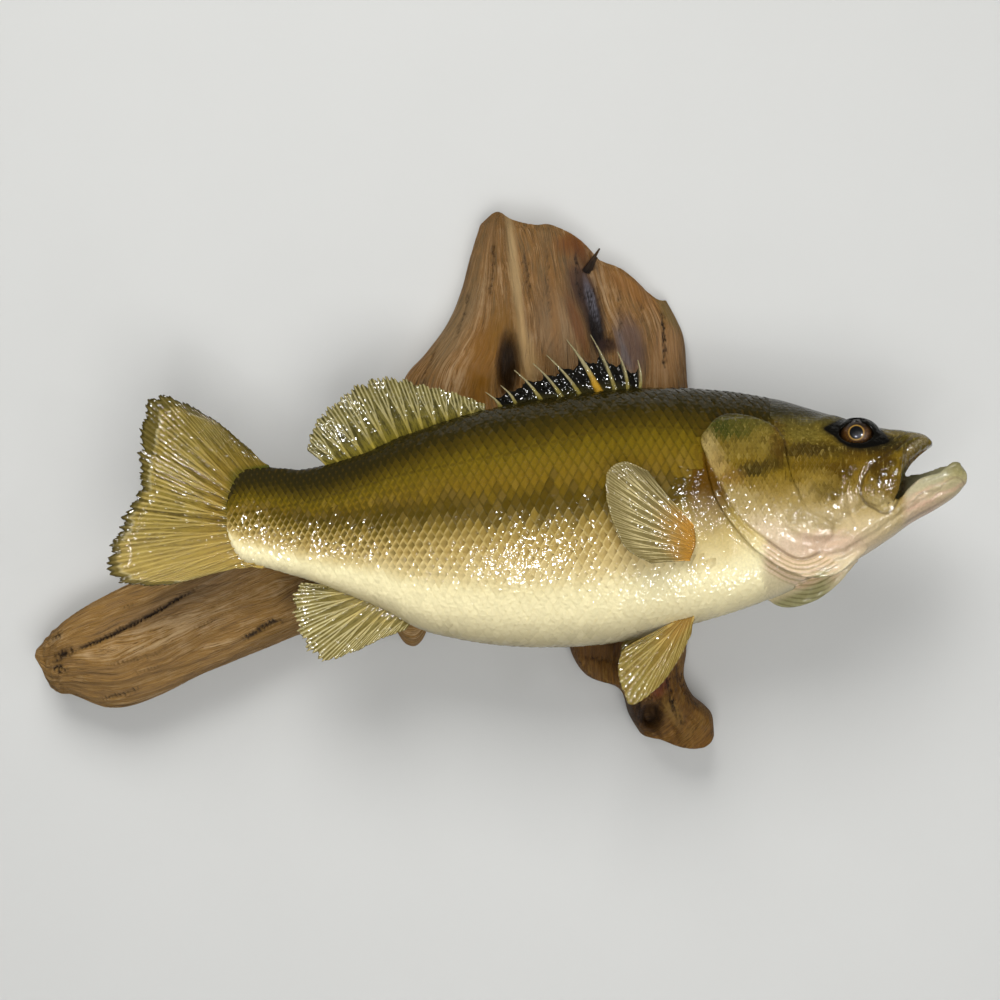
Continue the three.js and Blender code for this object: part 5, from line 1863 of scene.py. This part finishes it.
@dataclass(frozen=True)
class WoodSlab:
    """A slab of driftwood with a flat sawn back on the wall."""

    name: str
    node: str
    left: Path
    right: Path
    top: Path
    bottom: Path
    columns: int
    rows: int
    thickness: Callable[[Array, Array], Array]
    grain: Callable[[Array, Array], tuple[Array, Array]]
    hollow: tuple[float, float, float, float]
    cracks: tuple[Crease, ...]
    finish: WoodFinish
    seed: int
    hollow_shade: float = 1.0
    splinters: tuple[tuple[tuple[float, float, float], tuple[float, float, float]], ...] = ()

    def build(self) -> Mesh:
        """The slab, in millimetres, in place."""
        hx, hz, wide, high = self.hollow
        kept = []

        def place(u: Array, v: Array) -> Array:
            """The front, between its four edges."""
            u1, v1 = u[:, None], v[:, None]
            sides = self.left(v) * (1 - u1) + self.right(v) * u1
            ends = self.bottom(u) * (1 - v1) + self.top(u) * v1
            a, b, c, d = self.bottom(0), self.bottom(1), self.top(0), self.top(1)
            corners = (a * (1 - u1) + b * u1) * (1 - v1) + (c * (1 - u1) + d * u1) * v1
            points = sides + ends - corners
            x, z = points[:, 0], points[:, 2]
            across, along = self.grain(x, z)
            depth = self.thickness(u, v) + crumple(across, along, self.seed)
            edge = np.minimum(np.minimum(u, 1 - u) * 120, (1 - v) * 200)
            depth = depth - EDGE_DROP * bell(edge, EDGE_WIDTH)
            pit = smooth(0.05, 0.75, bell(np.hypot((x - hx) / wide, (z - hz) / high), 0.75))
            lift, cut = split(self.cracks, x, z)
            depth = depth - HOLLOW_DEPTH * pit + lift
            fish = np.where((x > FISH_START) & (x < FISH_END), BODY.flank(x, z), 0)
            room = np.where(fish > 0, -FISH_Y - fish - FISH_GAP, 99)
            # The hollow is painted dark by its depth as well: painted shade.
            kept.append((across, along, np.maximum(cut, self.hollow_shade * pit**1.3), x, z))
            points[:, 1] = -np.clip(np.minimum(depth, room), 2, None)
            return points

        mesh = gridded(self.columns, self.rows, place)
        write_wood(mesh, *kept[0])

        def back(bm: BMesh) -> None:
            """Runs the edge back to the wall and closes it there."""
            rim = [edge for edge in bm.edges if edge.is_boundary]
            for step in range(BACK_STEPS):
                made = bmesh.ops.extrude_edge_only(bm, edges=rim)["geom"]
                rim = [item for item in made if isinstance(item, bmesh.types.BMEdge)]
                for vert in (item for item in made if isinstance(item, bmesh.types.BMVert)):
                    vert.co.y *= BACK_SHRINK if step < BACK_STEPS - 1 else 0.0
            bmesh.ops.contextual_create(bm, geom=rim)

        splinters = [rod(foot, tip, 2.2, 0.5) for foot, tip in self.splinters]
        for splinter in splinters:
            x, _, z = coordinates(splinter).T
            write_wood(splinter, x, z, SPLINTER_GLOOM, x, z)
        return joined(edited(mesh, back, outward), *splinters)


LEFT_EDGE = ((-72, -57), (-30, -59), (2, -62), (22, -84), (40, -96), (58, -95), (75, -81), (93, -68),
             (112, -60), (134, -54), (154, -48))
RIGHT_EDGE = ((-72, 80), (-30, 84), (30, 84), (60, 81.5), (86, 79), (107, 69))
SLAB_LEFT = Spline(*LEFT_EDGE, (165, -45))
SLAB_RIGHT = Spline(*RIGHT_EDGE, (133, 60), (165, 50))


def slab_grain(x: Array, z: Array) -> tuple[Array, Array]:
    """Grain of the slab: it flares to the left of a long pale strip, and stands upright to its right."""
    strip = -30.5 + 0.136 * (158 - z)
    left = (x - strip) / np.maximum(strip - SLAB_LEFT(z), 8) * 44
    right = (x - strip) / np.maximum(SLAB_RIGHT(z) - strip, 8) * 98
    return np.where(x < strip, left, right), z


def root_grain(x: Array, z: Array) -> tuple[Array, Array]:
    """Grain of the root: upright, then curling round its foot."""
    turn = np.arctan2(np.maximum(-133 - z, 0), np.maximum(x - 50, 1e-3))
    return np.hypot(x - 50, np.maximum(-133 - z, 0)) * np.sign(x - 50 + 1e-6), z - 30 * turn


SLAB = WoodSlab(
    "driftwood_slab_grain", "driftwood_slab",
    left=Path([(x, z) for z, x in LEFT_EDGE]), right=Path([(x, z) for z, x in RIGHT_EDGE]),
    top=Path([(-48, 154), (-37, 161), (-29, 155.5), (-14, 151.5), (-4, 151.5), (12, 144.5), (24, 133),
              (26, 131), (40, 125), (63, 107), (69, 107)]),
    bottom=Path([(-57, -72), (12, -72), (80, -72)]),
    columns=190, rows=230,
    thickness=lambda u, v: rounded(u, 31, 15) + 9 * bell(u - 0.3, 0.16) + 0.5 * furrow(u, v) - 5 * v,
    grain=slab_grain, hollow=(-30, 63, 8, 26),
    cracks=(
        crease(-3.2, 1.0, (65, 105), (66, 80), (66.5, 56)),
        crease(-2.0, 0.9, (-54, 118), (-57, 98), (-65, 76)),
        crease(-2.2, 0.9, (-39, 150), (-40, 122), (-43, 100)),
        crease(-1.6, 0.8, (-7, 148), (-6, 112), (-3, 84)),
        crease(-2.4, 0.9, (12, 141), (12, 116), (18, 98)), crease(-1.8, 0.9, (38, 118), (39, 96), (38, 76)),
        crease(-1.5, 0.8, (52, 110), (53, 88)), crease(-1.7, 0.8, (-72, 82), (-80, 64), (-88, 50)),
        crease(3.2, 3.0, (-31, 158), (-25, 110), (-19, 72), (-14, 52)),
        crease(-1.8, 1.2, (-21, 140), (-17, 100)), crease(-2.5, 4.0, (17, 120), (22, 98), (27, 78)),
        crease(-2.0, 3.0, (31, 84), (32, 78)), crease(1.6, 5.0, (0, 140), (2, 100), (4, 64))),
    finish=WoodFinish(
        "weathered_slab", "b3936a", "80643f", "3d2b18", "8a6232", (
            Patch(-26, 118, 44, 3, "c4a574", 0.7, -84), Patch(-19, 72, 20, 5, "bd9a66", 0.75, -78),
            Patch(0, 86, 26, 12, "977d5e", 0.5, -80), Patch(-62, 92, 30, 9, "78694c", 0.45, 62),
            Patch(-46, 64, 26, 9, "7d5210", 0.75, 80), Patch(-34, 88, 14, 8, "7a5416", 0.6, 80),
            Patch(9, 142, 9, 6, "86501e", 0.5), Patch(16, 133, 10, 3.5, "4a2a12", 0.7, -50),
            Patch(14, 116, 14, 8, "4a3430", 0.65, -72), Patch(19, 102, 22, 7, "33231f", 0.85, -74),
            # The pale bluish-grey Patch at (21, 104) is a painted highlight along the wet dark stripe.
            Patch(24, 88, 18, 4.5, "110b0d", 0.95, -82), Patch(21, 104, 13, 2.6, "8f8b95", 0.6, -74),
            Patch(12, 90, 20, 3, "6b3a1c", 0.6, -70), Patch(45, 78, 18, 8, "5c4c4e", 0.65, -75),
            Patch(41, 74, 14, 2.5, "7c7a7e", 0.4, -70), Patch(31, 77, 6, 4, "37241f", 0.8),
            Patch(10, 138, 10, 7, "74421a", 0.6), Patch(48, 112, 20, 6, "94622a", 0.55, -35),
            Patch(69, 98, 12, 4, "6e6330", 0.5, -60), Patch(-2, 96, 30, 3, "9a6a34", 0.35, -86),
            Patch(67, 70, 18, 9, "a98054", 0.5, 80))),
    seed=71, splinters=(((17, -28, 123), (25.5, -36, 136)), ((19, -27, 123), (24, -33, 131))))
ROOT = WoodSlab(
    "driftwood_root_grain", "driftwood_root",
    left=Path([(52, -163), (45.5, -152), (41, -138), (34, -131.5), (19, -127), (11, -117), (7, -104),
               (4, -72.3)]),
    right=Path([(98, -162), (96, -150), (84, -138.5), (79, -127), (81, -112), (82, -96), (81, -72.3)]),
    top=Path([(4, -72.3), (42, -72.3), (81, -72.3)]),
    bottom=Path([(52, -163), (64, -165), (77, -169.5), (90, -169), (98, -162)]),
    columns=110, rows=130,
    thickness=lambda u, v: rounded(u, 34, 13) + 0.5 * furrow(u, v) + 8 * np.sin(np.minimum(5 * v, math.pi)),
    grain=root_grain, hollow=(57, -150, 7, 10),
    cracks=(
        crease(-2.5, 1.1, (66, -110), (67, -132), (73, -150), (85, -160)),
        crease(-2.0, 1.0, (73, -112), (76, -132), (90, -148)), crease(-2.2, 1.1, (60, -112), (60, -128)),
        crease(-2.0, 1.0, (49, -134), (50, -150), (55, -160)), crease(-1.6, 1.0, (12, -104), (40, -106)),
        crease(-1.6, 0.9, (15, -114), (42, -117)), crease(1.6, 2.0, (64, -140), (68, -152), (78, -162)),
        crease(1.5, 2.0, (70, -134), (76, -146), (90, -156))),
    finish=WoodFinish(
        "weathered_root", "96702f", "64451a", "281808", "7c5216", (
            # The dark Patches at (57, -150) and (47, -148) are painted shade in the root's hollow and beside
            # its crack.
            Patch(62, -131, 7, 4, "7a2c10", 0.6, 60), Patch(57, -150, 9, 10, "2c1b10", 0.6),
            Patch(47, -148, 5, 9, "2a180c", 0.7), Patch(70, -146, 10, 4, "a07c3c", 0.6, -60),
            Patch(25, -108, 18, 7, "5e3d18", 0.5))),
    seed=81, hollow_shade=0.3)

LOG_TOP = Spline((-321, -109), (-309, -96), (-282, -78), (-240, -60), (-200, -46), (-100, -12), (-62, 0))
LOG_BOTTOM = Spline((-321, -116), (-312, -134), (-298, -137.5), (-277, -145), (-255, -142), (-206, -121),
                    (-159, -101), (-120, -88), (-104, -92), (-93, -106), (-83, -103), (-72, -74), (-62, -64))
LOG_FRONT = Spline((-321, 34), (-300, 47), (-200, 53), (-62, 44))


@dataclass(frozen=True)
class WoodLog:
    """The log behind the tail, with its grain along it."""

    name: str = "driftwood_log_grain"
    node: str = "driftwood_log"
    start: float = -320.5
    end: float = -62.0
    rings: int = 260
    around: int = 190
    cracks: tuple[Crease, ...] = (
        crease(-5.0, 1.2, (-304, -113), (-280, -103.5), (-243.5, -85), (-228, -76), (-211, -66.7)),
        crease(-1.6, 0.9, (-268, -84), (-254, -79)),
        crease(-1.7, 1.0, (-280, -119), (-246, -112), (-228, -104)),
        crease(-3.6, 1.6, (-195, -104), (-184, -98.5), (-175, -92.5), (-163, -91)),
        crease(-2.2, 1.1, (-284, -140), (-262, -135), (-248, -129.5)),
        crease(-4.0, 2.4, (-304, -113), (-297, -110)), crease(-3.0, 2.0, (-307, -118), (-301, -122)),
        crease(-2.5, 1.8, (-311, -104), (-302, -98)), crease(-1.4, 0.9, (-226, -98), (-196, -84)),
        crease(-1.5, 1.0, (-262, -124), (-236, -117)))
    finish: WoodFinish = WoodFinish(
        "weathered_log", "c2a172", "927145", "4b351c", "9a7338", (
            Patch(-175, -96, 16, 5, "7c5a1e", 0.5, 25), Patch(-304, -112, 9, 6, "6b4c22", 0.5),
            Patch(-262, -122, 40, 8, "94703e", 0.35, 18), Patch(-230, -78, 40, 8, "7c6246", 0.4, 25)))

    def build(self) -> Mesh:
        """The log, in millimetres, in place."""
        kept = []

        def place(u: Array, v: Array) -> Array:
            """The log's surface, u round it and v along it."""
            x = self.start + (self.end - self.start) * v
            angle = 2 * math.pi * u
            ridge = 1 + 0.035 * np.sin(5 * angle + 0.03 * x)
            half, depth = (LOG_TOP(x) - LOG_BOTTOM(x)) / 2, LOG_FRONT(x) / 2 - 1
            z = (LOG_TOP(x) + LOG_BOTTOM(x)) / 2 + np.sin(angle) * half * ridge * 0.985
            lift, cut = split(self.cracks, x, z)
            front = smooth(0.1, -0.3, np.cos(angle))
            across = np.abs(2 * u - 1) * 80
            grain = crumple(across, x, 91) + 1.2 * ripple(u * 9, x / 6, 95) * smooth(-296, -314, x)
            grain = (grain + lift * front) * smooth(0, 0.02, v)
            y = -1 - depth + np.cos(angle) * (depth * ridge * 0.97 + grain)
            # The cracks' darkness on the log's front: painted shade.
            kept.append((across, x, cut * front, x, z))
            return stacked(x, np.minimum(y, -0.2), z + np.sin(angle) * grain * 0.5)

        mesh = gridded(self.around, self.rings, place)
        write_wood(mesh, *kept[0])
        return closed(mesh)


# ---------------------------------------------------------------- studio and assembly


@dataclass(frozen=True)
class Lamp:
    """A square lamp that faces the mount: its place, power in watts and side.

    A glint lamp only makes glints on what is wet, and the others only light the mount.
    """

    name: str
    place: tuple[float, float, float]
    power: float
    size: float
    glint: bool = False

    def build(self, aim: Sequence[float]) -> None:
        """Hangs the lamp so that it faces aim."""
        data = bpy.data.lights.new(self.name, "AREA")
        data.energy, data.size = self.power, self.size
        lamp = placed(self.name, data)
        lamp.location = self.place
        lamp.visible_glossy, lamp.visible_diffuse = self.glint, not self.glint
        lamp.rotation_euler = (Vector(aim) - Vector(self.place)).to_track_quat("-Z", "Y").to_euler()


@dataclass(frozen=True)
class Studio:
    """Camera, pale wall and soft light."""

    camera_place: tuple[float, float, float] = (-0.0354, -1.278, -0.0177)
    view_width: float = 0.5907
    view_distance: float = 1.2
    wall_tone: str = "c9c9c6"
    wall_size: float = 1.6
    wall_gap: float = 0.0015
    sky_tone: str = "e6e8ea"
    sky_strength: float = 0.26
    aim: tuple[float, float, float] = (-0.03, -0.08, -0.02)
    lamps: tuple[Lamp, ...] = (
        Lamp("key", (-0.4, -1.7, 1.4), 37, 1.2), Lamp("fill", (0.2, -1.9, -0.6), 21, 1.2),
        Lamp("left", (-0.2, -1.4, -0.5), 28, 0.1, True), Lamp("right", (0.85, -1.3, -0.1), 30, 0.1, True),
        Lamp("low", (0.7, -1.2, -1.2), 14, 0.1, True))

    def camera(self) -> None:
        """Stands the camera square to the wall."""
        data = bpy.data.cameras.new("camera")
        data.sensor_width = 36
        data.angle = 2 * math.atan(self.view_width / 2 / self.view_distance)
        camera = placed("camera", data)
        camera.location = self.camera_place
        camera.rotation_euler = (math.pi / 2, 0, 0)
        bpy.context.scene.camera = camera

    def wall(self) -> None:
        """A pale wall, seen from the room only, so that the back of the mount can be looked at."""
        graph = Graph("pale_wall")
        grain = graph.noise(graph.here(), 9.0, 5.0)
        colour = graph.mix(grain * 0.25, self.wall_tone, "b9b9b5")
        front = graph.node("ShaderNodeBsdfPrincipled", inputs={"Base Color": colour, "Roughness": 0.9})
        behind = graph.node("ShaderNodeBsdfTransparent")
        backface = graph.node("ShaderNodeNewGeometry").outputs["Backfacing"]
        both = graph.node("ShaderNodeMixShader", inputs={
            0: backface, 1: front.outputs[0], 2: behind.outputs[0]})
        graph.node("ShaderNodeOutputMaterial", inputs={0: both.outputs[0]})
        bm = bmesh.new()
        bmesh.ops.create_grid(bm, x_segments=1, y_segments=1, size=self.wall_size)
        bmesh.ops.rotate(bm, verts=bm.verts, matrix=Matrix.Rotation(math.pi / 2, 3, "X"), cent=(0, 0, 0))
        bmesh.ops.translate(bm, verts=bm.verts, vec=(0, self.wall_gap, 0))
        mesh = finished(bm, "wall")
        mesh.materials.append(graph.material)
        wall = placed("wall", mesh)
        wall.visible_shadow = wall.visible_diffuse = False

    def build(self) -> None:
        """Sets up the scene round the mount."""
        scene = bpy.context.scene
        scene.view_settings.view_transform = "Standard"
        world = bpy.data.worlds.new("studio")
        world.use_nodes = True
        sky = world.node_tree.nodes["Background"]
        sky.inputs["Color"].default_value = tone(self.sky_tone)
        sky.inputs["Strength"].default_value = self.sky_strength
        scene.world = world
        self.camera()
        self.wall()
        for lamp in self.lamps:
            lamp.build(self.aim)


def show(name: str, mesh: Mesh, material: Material, slot: str,
         *nodes: str, posed: bool = True) -> bpy.types.Object:
    """Turns a mesh into a finished piece of the mount.

    Args:
        name: the piece's name.
        mesh: its mesh in millimetres.
        material: its finish.
        slot: not used.
        nodes: CAD nodes that it stands for.
        posed: whether the mesh is drawn on the straight fish and needs posing.

    Returns:
        The object.
    """
    points = coordinates(mesh)
    move(mesh, (pose(points) if posed else points) * MM)
    mesh.name = name
    mesh.materials.clear()
    mesh.materials.append(material)
    mesh.polygons.foreach_set("use_smooth", [True] * len(mesh.polygons))
    piece = placed(name, mesh)
    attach(piece, "root")
    if nodes:
        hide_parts(*nodes)
    LOG.info("%s: %d faces", name, len(mesh.polygons))
    return piece


LID_FADE, LID_OUTER, LID_INNER = 14, 8.5, 5.0


def write_lid(mesh: Mesh, x: Array, z: Array) -> None:
    """Stores depth inside the dark skin round the eye and below the lip, and height over the keel of the jaw.

    The dark skin ends at the crown, and the place across the animal goes along in "span".

    Args:
        mesh: gets the attributes.
        x: place along the fish to read the outlines at, for each vertex.
        z: height to read them at.
    """
    y = coordinates(mesh)[:, 1]
    lid = EYELID.inside(x, z) - LID_FADE * smooth(LID_OUTER, LID_INNER, np.abs(y))
    write(mesh, "lid", lid, NEAR_RIM(x) - z, z - JAW.bottom(x))
    write(mesh, "span", y, 0, 0)


def dress_skin() -> None:
    """Skin of the whole animal, and the scales over it."""
    skin = Skin()
    mesh = skin.build()
    points = coordinates(mesh)
    x, _, z = points.T
    write(mesh, "lie", x, BODY.share(x, z), z)
    write(mesh, "zone", skin.on_cover(points), skin.inner_mouth(points), skin.on_jaw(points))
    write(mesh, "coatless", bare(x, z), COVER.inside(x, z), MAXILLA.inside(x, z))
    write_lid(mesh, x, z)
    flesh = ["head", "upper_jaw", "lower_jaw", "trunk", "tail", "gill_cover_right", "gill_cover_left",
             "gill_membrane_right", "gill_membrane_left"]
    face = {side: FaceCoat(side).build(mesh) for side in Side}
    show("bass_skin", mesh, skin.finish(), "skin", *flesh)
    face_finish = face_scale_finish()
    for side, scales in face.items():
        show(f"scales_face_{side.word}", scales, face_finish, "skin")
    flank = Flank()
    finish = scale_finish()
    for side in Side:
        show(f"scales_{side.word}", Coat(side).build(flank), finish, "skin")


def dress_fins() -> None:
    """All the fins."""
    made = {key: finish.build() for key, finish in FIN_FINISHES.items()}
    for fin in (CAUDAL, SOFT_DORSAL, ANAL, *map(pectoral, Side), *map(pelvic, Side)):
        key = fin.node.replace("left", "right")
        show(fin.name, fin.build(), made[key], fin.slot, fin.node)
    show("dorsal_fin_spines", SpinyFin().build(), made["dorsal_fin_spiny"], "dark_fin", "dorsal_fin_spiny")


def dress_eyes() -> None:
    """Both eyes."""
    finish = Eye(Side.RIGHT).finish()
    for side in Side:
        show(f"eyeball_{side.word}", Eye(side).build(), finish, "eye", f"eye_{side.word}")


def dress_driftwood() -> None:
    """Slab, root and log."""
    for wood in (SLAB, ROOT, WoodLog()):
        show(wood.name, wood.build(), wood.finish.build(), "driftwood", wood.node, posed=False)


def main() -> None:
    """Builds the mount and its studio."""
    logging.basicConfig(level=logging.INFO, format="%(message)s")
    Studio().build()
    dress_skin()
    dress_eyes()
    dress_fins()
    dress_driftwood()


if __name__ == "__main__":
    main()
